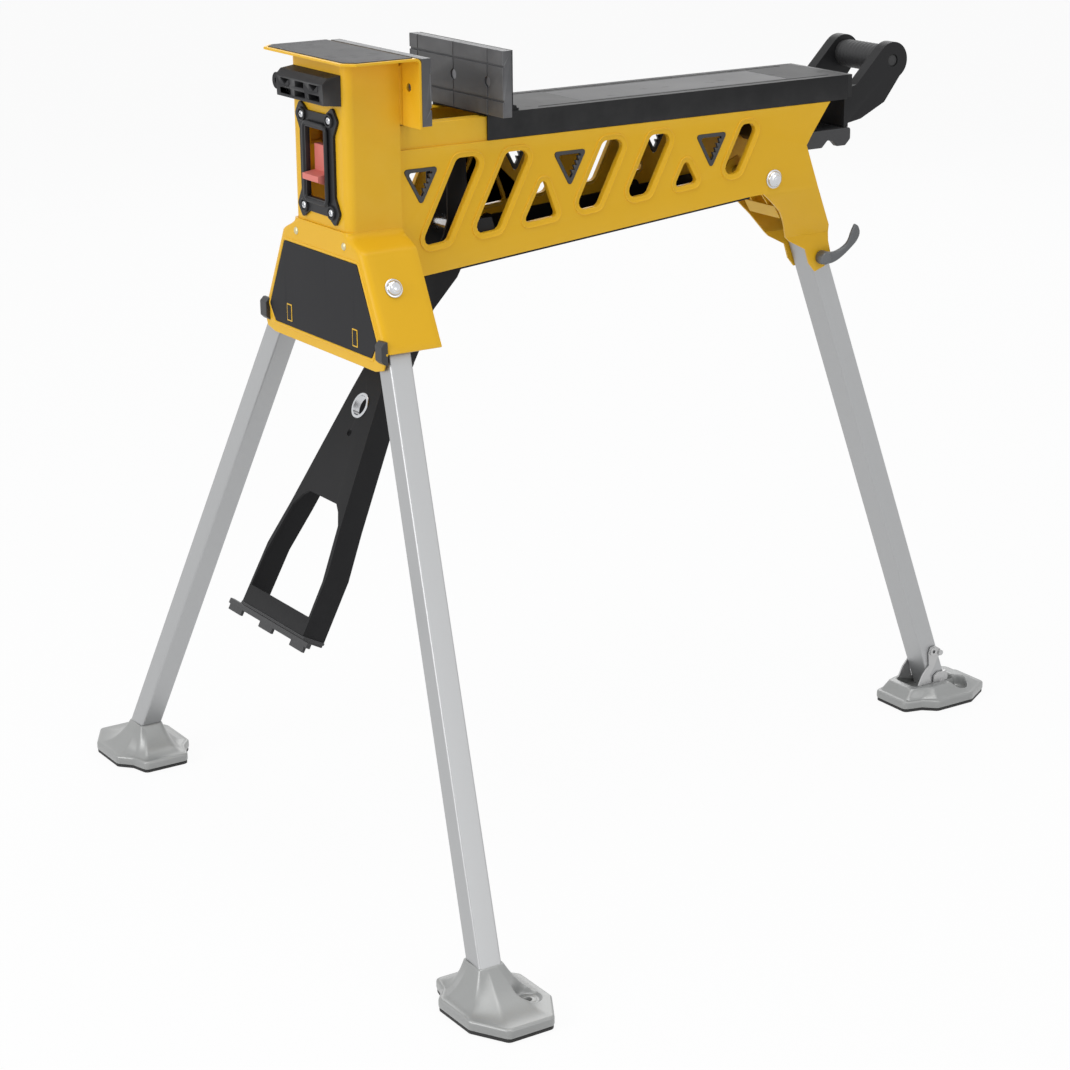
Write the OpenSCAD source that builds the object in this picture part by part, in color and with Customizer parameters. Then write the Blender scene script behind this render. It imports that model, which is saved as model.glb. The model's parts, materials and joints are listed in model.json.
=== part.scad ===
// Portable workbench with a foot-driven jaw: pressed-steel head, slotted beam, sliding jaw, three legs
// that fold.
// Built with the head's front face as x = 0 and the floor as z = 0, then moved so that the origin lies
// on the floor under the middle of the footprint. +X runs from the head to the rear leg.

/* [Jaws] */
// Width of both jaw pads
jaw_w = 185; // [170:1:200]
// Height of both jaw pads
jaw_h = 68; // [60:1:74]
// Thickness of a jaw pad
jaw_t = 11; // [9:0.5:13]
// Opening between the jaws as shown
jaw_open = 84.5; // [70:0.5:110]

/* [Height] */
// Height of the head's top plate above the floor
bench_h = 882.5; // [865:0.5:900]

/* [Head and beam] */
// Outer width of the beam
beam_w = 110; // [106:1:114]
// Thickness of the pressed steel sheets
sheet = 2.5; // [2:0.1:3]
// Depth of the head column from front to rear
head_d = 60; // [56:1:63]
// Width of the top plate
top_w = 184; // [174:1:190]
// Reach of the top plate in front of the head
top_front = 18; // [12:1:24]
// Length of the beam's yellow rail
rail_len = 528; // [510:1:530]
// Length of the slide channel
slide_len = 480; // [465:1:484]

/* [Lock lever] */
// Width of the lever cover
cover_w = 88; // [82:1:92]
// Height of the lever cover
cover_h = 122; // [116:1:126]
// Width of the red lever
lever_w = 33; // [28:1:35]

/* [Front legs] */
// Side of the square front leg tube
leg_a = 26; // [24:0.5:27]
// Wall of the leg tubes
leg_wall = 1.6; // [1.2:0.1:2.2]
// Depth of the front leg pivots below the head's top
hip_drop = 234.5; // [228.5:1:240.5]
// Distance of the front leg pivots from the middle plane
hip_y = 84.6; // [83:0.2:87]
// Distance of a front foot from the middle plane
foot_y = 405; // [385:1:425]
// Distance of the front feet in front of the head's front face
foot_front = 63; // [55:1:68]
// Diameter of the front leg pivot bolts
hip_bolt_d = 10; // [8:0.5:11]

/* [Rear leg] */
// Width of the rear leg tube across the bench
rear_w = 35; // [32:0.5:37]
// Depth of the rear leg tube along the bench
rear_d = 25; // [23:0.5:27]
// Distance of the rear foot behind the head's front face
rear_foot_x = 863; // [845:1:880]
// Diameter of the rear pivot bolt
rear_bolt_d = 12; // [10:0.5:13]
// Diameter of the rear leg's lock pin
lock_pin_d = 8; // [7:0.5:9]

/* [Feet] */
// Width of a cast foot
foot_w = 96; // [88:1:102]
// Length of a cast foot
foot_len = 134; // [126:1:140]
// Thickness of a rubber sole
sole_t = 4; // [3:0.5:5]

/* [Pedal] */
// Length of the pedal from its pivot to the end of the tread
pedal_len = 457; // [435:1:465]
// Width of the pedal at the tread
tread_w = 174; // [160:1:180]
// Width of the pedal at its crank
crank_w = 53; // [49:1:56]
// Depth of the pedal's side flanges
flange_d = 28; // [24:1:30]
// Diameter of the pedal pivot pin
pedal_pin_d = 12; // [10:0.5:13]

/* [Drive] */
// Height of the drive bar
bar_h = 15; // [13:0.5:16]
// Width of the drive bar
bar_w = 12; // [10:0.5:13]
// Diameter of the link pin in the pedal's fork
link_pin_d = 8; // [7:0.5:9]

/* [Hidden] */

// Clearances
gap = 0.3;
fit = 0.05;
tiny = 0.01;

// Heights that follow from the bench height
jaw_z = bench_h - 0.5 - jaw_h;
slide_top = jaw_z - 0.5;
rail_top = slide_top - sheet - 0.5;
step_z = rail_top - 25;
crease_hi = step_z - 95.5;
crease_lo = crease_hi - 62;

// Half widths that follow from the beam width
plate_out = beam_w / 2;
plate_in = plate_out - sheet;
head_out = plate_out + sheet;
slide_in = plate_in + gap;
slide_out = slide_in + sheet;

// Fixed jaw, slide and bar along the bench
jaw_back = head_d + 6;
fixed_face = jaw_back + jaw_t;
moving_face = fixed_face + jaw_open;
slide_x0 = moving_face + 5;
slide_x1 = slide_x0 + slide_len;
rail_x0 = 30;
rail_x1 = rail_x0 + rail_len;
bar_x0 = 112;
bar_z = rail_top - sheet - 5 - bar_h;

// Head
head_round = 10;
skirt_x = -5;
cover_z = step_z - 13.5;
slot_w = lever_w + 5;
slot_h = 72;
lever_pivot = [18, cover_z + 5];
rod_arm = 12;
screw_dy = cover_w / 2 - 15.5;
screw_dz = cover_h / 2 - 14;

// Front legs: splay across the bench, lean along it
hip_x = 21.8;
hip_z = bench_h - hip_drop;
splay = atan2(foot_y - hip_y, hip_z);
lean = atan2(hip_x + foot_front, norm([foot_y - hip_y, hip_z]));
leg_reach = norm([hip_x + foot_front, foot_y - hip_y, hip_z]);
leg_top = 16;
leg_end = leg_reach - 26;
washer_t = 4;
bracket_in = leg_a / 2 + 1;
side_in = leg_a / 2 + washer_t;

// Skirt outline
skirt_hi = crease_hi + 13;
skirt_top = crease_hi + 18;
skirt_lo = crease_hi - 115;
side_lo = crease_hi - 93;
function side_y(z, off) = hip_y + (hip_z - z) * tan(splay) + off / cos(splay);

// Rear leg: its pivot, and its axis in the leg's own frame
rear_pivot = [rail_x1 - 15, crease_hi + 16];
rear_off = 55.5;
rear_span = norm([rear_foot_x - rear_pivot[0], rear_pivot[1]]);
rear_rake = asin((rear_foot_x - rear_pivot[0]) / rear_span) - asin(rear_off / rear_span);
rear_reach = sqrt(rear_span * rear_span - rear_off * rear_off);
rear_top = 75;
rear_end = rear_reach - 28;
tongue_in = rear_w / 2 + 0.6;
tongue_out = tongue_in + sheet;

// Pedal: pivot, rake and fork
pedal_pivot = [148, crease_hi + 2];
pedal_rake = 28;
web_x = -12.2;
cheek_t = 2.5;
link_z = bar_z - 9;
fork_r = link_z - pedal_pivot[1];

// Feet
cast_t = 12;
inner_end = 73;

// Middle of the footprint
foot_x0 = -foot_front - foot_w / 2 + 8;
foot_x1 = rear_foot_x - inner_end + foot_len;
mid_x = (foot_x0 + foot_x1) / 2;

yellow = [0.93, 0.72, 0.17];
black = [0.12, 0.12, 0.12];
grey = [0.33, 0.33, 0.34];
alloy = [0.78, 0.78, 0.77];
zinc = [0.7, 0.71, 0.72];
red = [0.82, 0.33, 0.32];

// Outline helpers: a corner of the outline becomes an arc of radius r
function unit(v) = v / norm(v);
function turn(a) = ((a % 360) + 540) % 360 - 180;
function arc_at(a, b, c, r, n) = let (
    u = unit(a - b), w = unit(c - b), half = acos(u * w) / 2,
    mid = b + unit(u + w) * r / sin(half),
    p = b + u * r / tan(half) - mid, q = b + w * r / tan(half) - mid,
    from = atan2(p[1], p[0]), sweep = turn(atan2(q[1], q[0]) - from))
    [for (i = [0:n]) mid + r * [cos(from + sweep * i / n), sin(from + sweep * i / n)]];
function rounded(pts, r, n = 4) = [for (i = [0:len(pts) - 1]) each
    arc_at(pts[(i + len(pts) - 1) % len(pts)], pts[i], pts[(i + 1) % len(pts)], r, n)];

// A flat sheet in the XZ plane, y0 to y0 + t, and one in the YZ plane, x0 to x0 + t
module sheet_xz(y0, t) translate([0, y0 + t, 0]) rotate([90, 0, 0]) linear_extrude(t) children();
module sheet_yz(x0, t) translate([x0, 0, 0]) rotate([90, 0, 90]) linear_extrude(t) children();
// A bar along Y or X with its middle or start at the given place
module rod_y(x, z, d, y0, y1) translate([x, y1, z]) rotate([90, 0, 0])
    cylinder(h = y1 - y0, d = d, $fn = 40);
module rod_x(y, z, d, x0, x1) translate([x0, y, z]) rotate([0, 90, 0])
    cylinder(h = x1 - x0, d = d, $fn = 32);
module box(a, b) translate(a) cube(b - a);
module both() { children(); mirror([0, 1, 0]) children(); }
module place() translate([-mid_x, 0, 0]) children();

// Frames of the legs and the pedal: their own -Z runs along the piece
module far_leg_frame() translate([hip_x, hip_y, hip_z]) rotate([splay, 0, 0])
    rotate([0, lean, 0]) children();
module near_leg_frame() mirror([0, 1, 0]) far_leg_frame() children();
module rear_frame() translate([rear_pivot[0], 0, rear_pivot[1]]) rotate([0, -rear_rake, 0]) children();
module pedal_frame() translate([pedal_pivot[0], 0, pedal_pivot[1]]) rotate([0, pedal_rake, 0]) children();

// Head column: a channel, open to the rear, that wraps the beam plates; two welded ears carry the lever pin
module head_shell() color(yellow) place() {
    difference() {
        translate([0, 0, crease_hi - 2]) linear_extrude(bench_h - sheet - crease_hi + 2) difference() {
            polygon(concat([[head_d, -head_out]],
                arc_at([head_d, -head_out], [skirt_x / 2, -head_out], [skirt_x / 2, 0], head_round, 8),
                arc_at([skirt_x / 2, 0], [skirt_x / 2, head_out], [head_d, head_out], head_round, 8),
                [[head_d, head_out]]));
            polygon(concat([[head_d + 1, -plate_out]],
                arc_at([head_d, -plate_out], [skirt_x / 2 + sheet, -plate_out], [skirt_x / 2 + sheet, 0],
                    head_round - sheet, 8),
                arc_at([skirt_x / 2 + sheet, 0], [skirt_x / 2 + sheet, plate_out], [head_d, plate_out],
                    head_round - sheet, 8),
                [[head_d + 1, plate_out]]));
        }
        box([-20, -slot_w / 2 - 2, cover_z - slot_h / 2 - 2],
            [head_round, slot_w / 2 + 2, cover_z + slot_h / 2 + 2]);
        for (y = [-screw_dy, screw_dy], z = [-screw_dz, screw_dz])
            rod_x(y, cover_z + z, 4.2, -20, head_round);
        for (y = [-rivet_y, rivet_y]) rod_x(y, rivet_z, 4.2, -20, head_round);
    }
    both() difference() {
        union() {
            box([0, 21, lever_pivot[1] - 11], [lever_hub + 9, 23.5, lever_pivot[1] + 11]);
            box([-0.5, 21, lever_pivot[1] - 11], [sheet, 34, lever_pivot[1] + 11]);
        }
        rod_y(lever_hub, lever_pivot[1], 6, 0, 60);
    }
}

// Skirt: front plate, shoulders and the two sloped housings of the front legs
rivet_y = plate_in - 2;
rivet_z = skirt_hi - 9;
skirt_top_y = head_out - 1;
module skirt_outline() polygon([
    [-skirt_top_y, skirt_top], [-skirt_top_y - 4, skirt_hi],
    [-side_y(skirt_hi - 12, side_in + sheet), skirt_hi - 12],
    [-side_y(side_lo, side_in + sheet), side_lo], [-side_y(side_lo, side_in + sheet) + 8, skirt_lo + 4],
    [-side_y(side_lo, side_in + sheet) + 24, skirt_lo], [side_y(side_lo, side_in + sheet) - 24, skirt_lo],
    [side_y(side_lo, side_in + sheet) - 8, skirt_lo + 4], [side_y(side_lo, side_in + sheet), side_lo],
    [side_y(skirt_hi - 12, side_in + sheet), skirt_hi - 12],
    [skirt_top_y + 4, skirt_hi], [skirt_top_y, skirt_top]]);
function panel_y(z) = side_y(z, side_in + sheet) - 12;
panel_hi = skirt_hi - 22;
panel_lo = skirt_lo + 12;
function panel_outline(c) = [[-panel_y(panel_hi) + c, panel_hi - c],
    [-panel_y(side_lo + 8) + c, side_lo + 8],
    [-panel_y(side_lo + 8) + 12 + c, panel_lo + c], [panel_y(side_lo + 8) - 12 - c, panel_lo + c],
    [panel_y(side_lo + 8) - c, side_lo + 8], [panel_y(panel_hi) - c, panel_hi - c]];
catch_y = side_y(side_lo, side_in + sheet) - 8;
catch_z = side_lo + 1;
module head_skirt() color(yellow) place() difference() {
    union() {
        sheet_yz(skirt_x, sheet) skirt_outline();
        both() intersection() {
            translate([hip_x, hip_y, hip_z]) rotate([splay, 0, 0])
                box([skirt_x - hip_x, side_in, side_lo - skirt_top],
                    [head_d - hip_x, side_in + sheet, skirt_top - side_lo]);
            box([skirt_x, 0, side_lo], [head_d, 300, skirt_hi - 12]);
        }
        both() intersection() {
            sheet_yz(skirt_x, head_d - skirt_x) polygon([
                [head_out, skirt_top], [head_out, skirt_hi + 1],
                [side_y(skirt_hi - 12, side_in), skirt_hi - 13.5],
                [side_y(skirt_hi - 12, side_in + sheet), skirt_hi - 12.5], [head_out + 4, skirt_hi + 2]]);
            box([skirt_x, 0, skirt_lo], [head_d, 300, skirt_top]);
        }
        box([skirt_x + sheet, 32 - side_y(side_lo, 0), skirt_lo],
            [skirt_x + 14, side_y(side_lo, 0) - 32, skirt_lo + sheet]);
    }
    both() far_leg_frame() rotate([-90, 0, 0]) cylinder(h = 60, d = hip_bolt_d + 2 * fit, $fn = 40);
    for (y = [-rivet_y, rivet_y]) rod_x(y, rivet_z, 4.2, -20, head_round);
    for (s = [-1, 1]) box([-20, s * catch_y - 7.1, catch_z - 12.1], [0, s * catch_y + 7.1, catch_z + 12.1]);
    sheet_yz(-20, 30) polygon(rounded(panel_outline(6), 3));
}

// Black pressed panel on the front of the skirt, bare
module front_panel() color(black) place() difference() {
    union() {
        sheet_yz(skirt_x - 1.2, 1.2) polygon(rounded(panel_outline(0), 3));
        sheet_yz(skirt_x, sheet) polygon(rounded(panel_outline(6 + gap), 3));
    }
    for (s = [-1, 1]) {
        box([-20, s * catch_y - 7.1, catch_z - 12.1], [0, s * catch_y + 7.1, catch_z + 12.1]);
        box([-20, s * 70 - 4, panel_lo + 8], [0, s * 70 + 4, panel_lo + 24]);
    }
}

// Top plate: flat top, bend, and the flange that backs the fixed jaw
bend_r = 6;
module top_jaw_plate() color(yellow) place() difference() {
    union() {
        translate([0, 0, bench_h - sheet]) linear_extrude(sheet) polygon([
            [-top_front - 2, -top_w / 2 + 12], [-top_front + 10, -top_w / 2],
                [jaw_back - bend_r, -top_w / 2],
            [jaw_back - bend_r, top_w / 2], [-top_front + 10, top_w / 2], [-top_front - 2, top_w / 2 - 12]]);
        translate([jaw_back - bend_r, top_w / 2, bench_h - bend_r]) rotate([90, 0, 0]) intersection() {
            difference() {
                cylinder(h = top_w, r = bend_r, $fn = 48);
                translate([0, 0, -1]) cylinder(h = top_w + 2, r = bend_r - sheet, $fn = 48);
            }
            cube([20, 20, top_w]);
        }
        box([jaw_back - sheet, -top_w / 2, rail_top + 1], [jaw_back, top_w / 2, bench_h - bend_r]);
    }
    for (y = [-jaw_w * 0.38, jaw_w * 0.38])
        rod_x(y, jaw_z + jaw_h * 0.55, 8.4, jaw_back - 10, jaw_back + 10);
}

// Dark grip sheet bonded on the top plate, bare
module top_sheet() color(black) place() translate([0, 0, bench_h]) linear_extrude(0.8) polygon([
    [-top_front + 2, -top_w / 2 + 14], [-top_front + 12, -top_w / 2 + 4],
        [jaw_back - bend_r - 2, -top_w / 2 + 4],
    [jaw_back - bend_r - 2, top_w / 2 - 4], [-top_front + 12, top_w / 2 - 4],
        [-top_front + 2, top_w / 2 - 14]]);

// Jaw pad: grooved block; x0 is its working face and s the side its back lies on
pad_screw_y = jaw_w * 0.02;
module pad(x0, s) difference() {
    box([min(x0, x0 + s * jaw_t), -jaw_w / 2, jaw_z], [max(x0, x0 + s * jaw_t), jaw_w / 2, jaw_z + jaw_h]);
    for (z = [0.25, 0.77]) box([x0 - 1.5, -jaw_w, jaw_z + jaw_h * z - 1.2],
        [x0 + 1.5, jaw_w, jaw_z + jaw_h * z + 1.2]);
    for (y = [-0.34, 0.02, 0.41]) box([x0 - 1, jaw_w * y - 1, jaw_z - 1],
        [x0 + 1, jaw_w * y + 1, jaw_z + jaw_h + 1]);
    for (y = [pad_screw_y, -jaw_w * 0.34]) {
        rod_x(y, jaw_z + jaw_h / 2, 6.4, x0 - 20, x0 + 20);
        rod_x(y, jaw_z + jaw_h / 2, 11, s > 0 ? x0 - 1 : x0 - 4, s > 0 ? x0 + 4 : x0 + 1);
    }
}
module fixed_jaw_pad() color(grey) place() pad(fixed_face, -1);
module moving_jaw_pad() color(grey) place() pad(moving_face, 1);

// Pad screws: head in the pad, shank through the plate or bracket behind
module fixed_jaw_screws() color(zinc) place() for (y = [pad_screw_y, -jaw_w * 0.34]) {
    rod_x(y, jaw_z + jaw_h / 2, 6, jaw_back, fixed_face - 4);
    rod_x(y, jaw_z + jaw_h / 2, 10.5, fixed_face - 4, fixed_face - 1.2);
}
module moving_jaw_screws() color(zinc) place() {
    for (y = [pad_screw_y, -jaw_w * 0.34]) {
        rod_x(y, jaw_z + jaw_h / 2, 6, moving_face + 4, moving_face + jaw_t);
        rod_x(y, jaw_z + jaw_h / 2, 10.5, moving_face + 1.2, moving_face + 4);
    }
    for (y = [-30, 30]) translate([slide_x0 + 22, y, slide_top + sheet]) cylinder(h = 3, d = 11, $fn = 32);
}

// Gussets between the head column and the flange of the top plate
module jaw_gussets() color(yellow) place() both()
    sheet_xz(plate_out, sheet) polygon([[head_d, rail_top + 2], [jaw_back - sheet, rail_top + 2],
        [jaw_back - sheet, bench_h - sheet - bend_r], [head_d, bench_h - sheet - bend_r - 3]]);

// Plastic block on the head front: ribbed face, open pockets, a round boss at the far end
block_z = bench_h - 33;
block_w = 98;
module front_block() color(grey) place() difference() {
    union() {
        sheet_xz(-block_w / 2, block_w) polygon([[skirt_x / 2, block_z - 14],
            [skirt_x / 2 - 20, block_z - 12],
            [skirt_x / 2 - 21, block_z + 9], [skirt_x / 2 - 15, block_z + 15], [skirt_x / 2, block_z + 17]]);
        rod_x(block_w / 2 + 3, block_z + 2, 17, skirt_x / 2 - 19, skirt_x / 2);
    }
    for (y = [-30, 0, 30]) {
        box([skirt_x / 2 - 22, y - 11, block_z - 9], [skirt_x / 2 - 9, y + 11, block_z - 3]);
        box([skirt_x / 2 - 22, y - 9, block_z + 1], [skirt_x / 2 - 9, y + 9, block_z + 7]);
    }
    rod_x(block_w / 2 + 3, block_z + 2, 6, skirt_x / 2 - 30, skirt_x / 2 + 5);
}

// Cover of the lock lever: plate with four screw ears and a raised rim round the slot
function cover_quarter(sy, sz) = [[sy * (cover_w / 2 - 24), sz * (cover_h / 2 - 9)],
    [sy * (cover_w / 2 - 10), sz * cover_h / 2], [sy * cover_w / 2, sz * (cover_h / 2 - 14)],
    [sy * (cover_w / 2 - 9), sz * (cover_h / 2 - 30)]];
function back(v) = [for (i = [len(v) - 1:-1:0]) v[i]];
function cover_outline() = [for (p = concat(cover_quarter(1, 1), back(cover_quarter(1, -1)),
    cover_quarter(-1, -1), back(cover_quarter(-1, 1)))) p + [0, cover_z]];
module lever_cover() color(black) place() difference() {
    union() {
        sheet_yz(skirt_x / 2 - 3, 3) polygon(rounded(cover_outline(), 4, 3));
        box([skirt_x / 2 - 5.5, -slot_w / 2 - 5, cover_z - slot_h / 2 - 5],
            [skirt_x / 2 - 3, slot_w / 2 + 5, cover_z + slot_h / 2 + 5]);
    }
    box([-30, -slot_w / 2, cover_z - slot_h / 2], [10, slot_w / 2, cover_z + slot_h / 2]);
    for (y = [-screw_dy, screw_dy], z = [-screw_dz, screw_dz]) rod_x(y, cover_z + z, 4.2, -20, 10);
}
module cover_screws() color(zinc) place() for (y = [-screw_dy, screw_dy], z = [-screw_dz, screw_dz]) {
    rod_x(y, cover_z + z, 4, skirt_x / 2 - 3, 6);
    rod_x(y, cover_z + z, 8, skirt_x / 2 - 5.2, skirt_x / 2 - 3);
}
module skirt_rivets() color(yellow) place() for (y = [-rivet_y, rivet_y]) {
    rod_x(y, rivet_z, 4, skirt_x, 6);
    rod_x(y, rivet_z, 8, skirt_x - 1.6, skirt_x);
}

// Beam plates: slotted side, a joggle at the rear and the tongue beside the rear leg
tail = rail_x1;
beam_lo0 = crease_hi - 43.6;
beam_slope = 0.0862;
function beam_lo(x) = beam_lo0 + (x - 12) * beam_slope;
function along(x) = rail_x0 + (x - rail_x0) * rail_len / 528;
slot_top = step_z - 14;
slot_lean = 0.52;
slots = [[82, 34], [145.5, 33.5], [274, 31.5], [339.5, 31.5], [469.5, 24]];
windows = [84.5, 268.5, 455.5];
peaks = [[235.5, 209, 252.5], [421.8, 404.8, 438]];
function slot_outline(x, w) = let (x0 = along(x), b0 = beam_lo(x0) + 30, b1 = beam_lo(x0 + w) + 30)
    rounded([[x0, b0], [x0 + w, b1], [x0 + w + (slot_top - b1) * slot_lean, slot_top],
        [x0 + (slot_top - b0) * slot_lean, slot_top]], 8, 4);
function window_outline(x, k) = let (c = [along(x), step_z - 33.5])
    rounded([[c[0] - 21.7 * k, c[1] + 13.5 * k], [c[0], c[1] - 26 * k],
        [c[0] + 21.7 * k, c[1] + 13.5 * k]], 3 * k, 3);
function peak_outline(v) = let (a = along(v[0]), l = along(v[1]), r = along(v[2]))
    rounded([[a, step_z - 44], [l, beam_lo(l) + 30], [r, beam_lo(r) + 30]], 4, 3);
module joggle_area() sheet_xz(0, 80) polygon([[tail - 28, crease_hi], [tail - 13, crease_hi - 10.6],
    [tail + 7, crease_hi - 26], [tail + 19, crease_hi - 41], [tail + 32, crease_lo], [tail + 94, crease_lo],
    [tail + 90.5, crease_lo + 9.6], [tail + 49.5, crease_hi]]);
lock_pin = [tail + 83.6, crease_lo - 28.4];
module beam_plate() difference() {
    union() {
        sheet_xz(plate_in, sheet) polygon([[12, beam_lo(12)], [tail - 47, crease_hi - 0.7],
            [tail - 28, crease_hi], [tail + 49.5, crease_hi], [tail + 31.6, crease_hi + 49.3],
            [tail + 39.4, crease_hi + 61.5], [tail + 64, step_z], [12, step_z]]);
        intersection() {
            joggle_area();
            sheet_yz(tail - 40, 150) polygon([[plate_out, crease_hi], [plate_in - 0.3, crease_hi],
                [tongue_in - 0.3, crease_lo], [tongue_out, crease_lo]]);
        }
        sheet_xz(tongue_in, sheet) polygon([[tail + 32, crease_lo], [tail + 37.5, crease_lo - 5],
            [tail + 61.5, crease_lo - 17.3], [tail + 67, crease_lo - 34.2], [tail + 76, crease_lo - 44.8],
            [tail + 90, crease_lo - 40], [tail + 98.4, crease_lo - 24.5], [tail + 94.6, crease_lo - 10.5],
            [tail + 94, crease_lo]]);
    }
    for (v = slots) sheet_xz(plate_in - 5, 12) polygon(slot_outline(v[0], v[1]));
    for (x = windows) sheet_xz(plate_in - 5, 12) polygon(window_outline(x, 1));
    for (v = peaks) sheet_xz(plate_in - 5, 12) polygon(peak_outline(v));
    rod_y(rear_pivot[0], rear_pivot[1], rear_bolt_d + 2 * fit, 40, 70);
    rod_y(lock_pin[0], lock_pin[1], lock_pin_d + 2 * fit, 0, 40);
}
module beam_plate_far() color(yellow) place() beam_plate();
module beam_plate_near() color(yellow) place() mirror([0, 1, 0]) beam_plate();

// Black plastic rims in the three windows of each plate
module window_rims() color(black) place() both() for (x = windows) difference() {
    sheet_xz(plate_in - 1, sheet + 1.8) polygon(window_outline(x, 0.985));
    sheet_xz(plate_in - 5, 12) polygon(window_outline(x, 0.7));
}

// Yellow rail on top of the beam; its top is open between two lips as far as the drive
rail_slot = plate_in - 16;
module top_rail() color(yellow) place() difference() {
    box([rail_x0, -plate_in, step_z - 9.5], [rail_x1, plate_in, rail_top]);
    box([rail_x0 - 1, -plate_in + sheet, step_z - 20], [rail_x1 + 1, plate_in - sheet, rail_top - sheet]);
    box([jaw_back + 4, -rail_slot, rail_top - 5], [along(440), rail_slot, rail_top + 5]);
}

// Lower channel inside the beam: it carries the pedal pin at its front
chan_out = plate_in - 2.5;
chan_in = chan_out - sheet;
chan_x0 = pedal_pivot[0] - 14;
chan_x1 = tail - 44;
web_x0 = pedal_pivot[0] + 28;
function chan_top(x) = beam_lo(x) + 21.5 - (x - chan_x0) * 0.025;
module lower_channel() color(black) place() difference() {
    union() {
        sheet_xz(-chan_out, 2 * chan_out) polygon([[chan_x0, beam_lo(chan_x0) - 3.5],
            [chan_x1, beam_lo(chan_x1) - 3.5], [chan_x1, chan_top(chan_x1)],
            [pedal_pivot[0] + 32, chan_top(pedal_pivot[0] + 32)],
            [pedal_pivot[0] + 25, pedal_pivot[1] + 12], [pedal_pivot[0] - 9, pedal_pivot[1] + 12],
            [chan_x0, pedal_pivot[1] + 6]]);
        for (x = [230, 330, 425]) rod_y(along(x), beam_lo(along(x)) + 15, 12, -plate_in, plate_in);
    }
    sheet_xz(-chan_in, 2 * chan_in) polygon([[chan_x0 - 1, beam_lo(chan_x0) - 1],
        [chan_x1 + 1, beam_lo(chan_x1 + 2) - 1],
        [chan_x1 + 1, crease_hi + 30], [chan_x0 - 1, crease_hi + 30]]);
    box([chan_x0 - 1, -chan_in, 0], [web_x0, chan_in, crease_hi + 30]);
    rod_y(pedal_pivot[0], pedal_pivot[1], pedal_pin_d, -70, 70);
}
// Guide block between the plates at the rear end
guide_z = crease_hi + 63;
module rear_guide_block() color(black) place() difference() {
    sheet_xz(-plate_in, 2 * plate_in) polygon(rounded([[tail + 17, guide_z - 14], [tail + 24, guide_z - 20],
        [tail + 56, guide_z - 20], [tail + 64, guide_z - 12], [tail + 72, guide_z - 14],
        [tail + 78, guide_z - 20], [tail + 90, guide_z - 20], [tail + 97, guide_z - 13],
        [tail + 97, guide_z], [tail + 17, guide_z]], 3, 3));
    box([tail + 70, -plate_in + 8, guide_z - 30], [tail + 200, plate_in - 8, guide_z - 6]);
}

// Rear pivot bolt with its heads, and the spacer tubes beside the carrier
module rear_pivot_bolt() color(zinc) place() {
    rod_y(rear_pivot[0], rear_pivot[1], rear_bolt_d, -plate_out, plate_out);
    both() {
        rod_y(rear_pivot[0], rear_pivot[1], 20, plate_out, plate_out + 1.5);
        translate([rear_pivot[0], plate_out + 1.5, rear_pivot[1]]) rotate([-90, 0, 0])
            cylinder(h = 5, d1 = 17, d2 = 10, $fn = 40);
        difference() {
            rod_y(rear_pivot[0], rear_pivot[1], 20, 16.4, plate_in);
            rod_y(rear_pivot[0], rear_pivot[1], rear_bolt_d + 0.6, 0, 80);
        }
    }
}

// Pedal pivot pin and the return spring wound round its bush
module pedal_pivot_pin() color(zinc) place()
    rod_y(pedal_pivot[0], pedal_pivot[1], pedal_pin_d, -plate_in, plate_in);
wire = 2.4;
module pedal_return_spring() color(zinc) place() both() translate([pedal_pivot[0], 0, pedal_pivot[1]]) {
    rotate([-90, 0, 0]) rotate_extrude($fn = 40) {
        for (i = [0:5]) translate([pedal_pin_d / 2 + 3.2, 27 + i * 2.2]) circle(d = wire, $fn = 12);
        translate([pedal_pin_d / 2 + 2.6, 27]) square([1.2, 11]);
    }
    translate([0, 38, pedal_pin_d / 2 + 3.2]) rotate([0, 90, 0]) cylinder(h = 20, d = wire, $fn = 16);
    translate([20 - wire / 2, 38, pedal_pin_d / 2 + 3.2]) rotate([-90, 0, 0])
        cylinder(h = chan_in - 38, d = wire, $fn = 16);
}

// Front leg pivots: inner brackets, bolts and washers
module leg_inner_brackets() color(yellow) place() both() difference() {
    intersection() {
        translate([hip_x, hip_y, hip_z]) rotate([splay, 0, 0])
            box([-20, -bracket_in - sheet, -90], [34, -bracket_in, 90]);
        box([0, plate_out, side_lo], [60, 300, skirt_hi]);
    }
    far_leg_frame() rotate([90, 0, 0]) cylinder(h = 60, d = hip_bolt_d + 2 * fit, $fn = 40);
}
module hip_bolts() color(zinc) place() both() far_leg_frame() {
    translate([0, -bracket_in - sheet - 4, 0]) rotate([-90, 0, 0])
        cylinder(h = bracket_in + side_in + 2 * sheet + 4, d = hip_bolt_d, $fn = 40);
    translate([0, side_in + sheet, 0]) rotate([-90, 0, 0]) cylinder(h = 1.5, d = 19, $fn = 40);
    translate([0, side_in + sheet + 1.5, 0]) rotate([-90, 0, 0])
        cylinder(h = 4.5, d1 = 15, d2 = 9, $fn = 40);
    translate([0, -bracket_in - sheet - 4, 0]) rotate([-90, 0, 0]) cylinder(h = 4, d = 16, $fn = 6);
    rotate([-90, 0, 0]) translate([0, 0, leg_a / 2 + gap]) difference() {
        cylinder(h = washer_t - gap, d = 22, $fn = 40);
        translate([0, 0, -1]) cylinder(h = washer_t + 2, d = hip_bolt_d + 0.6, $fn = 40);
    }
}

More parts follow.
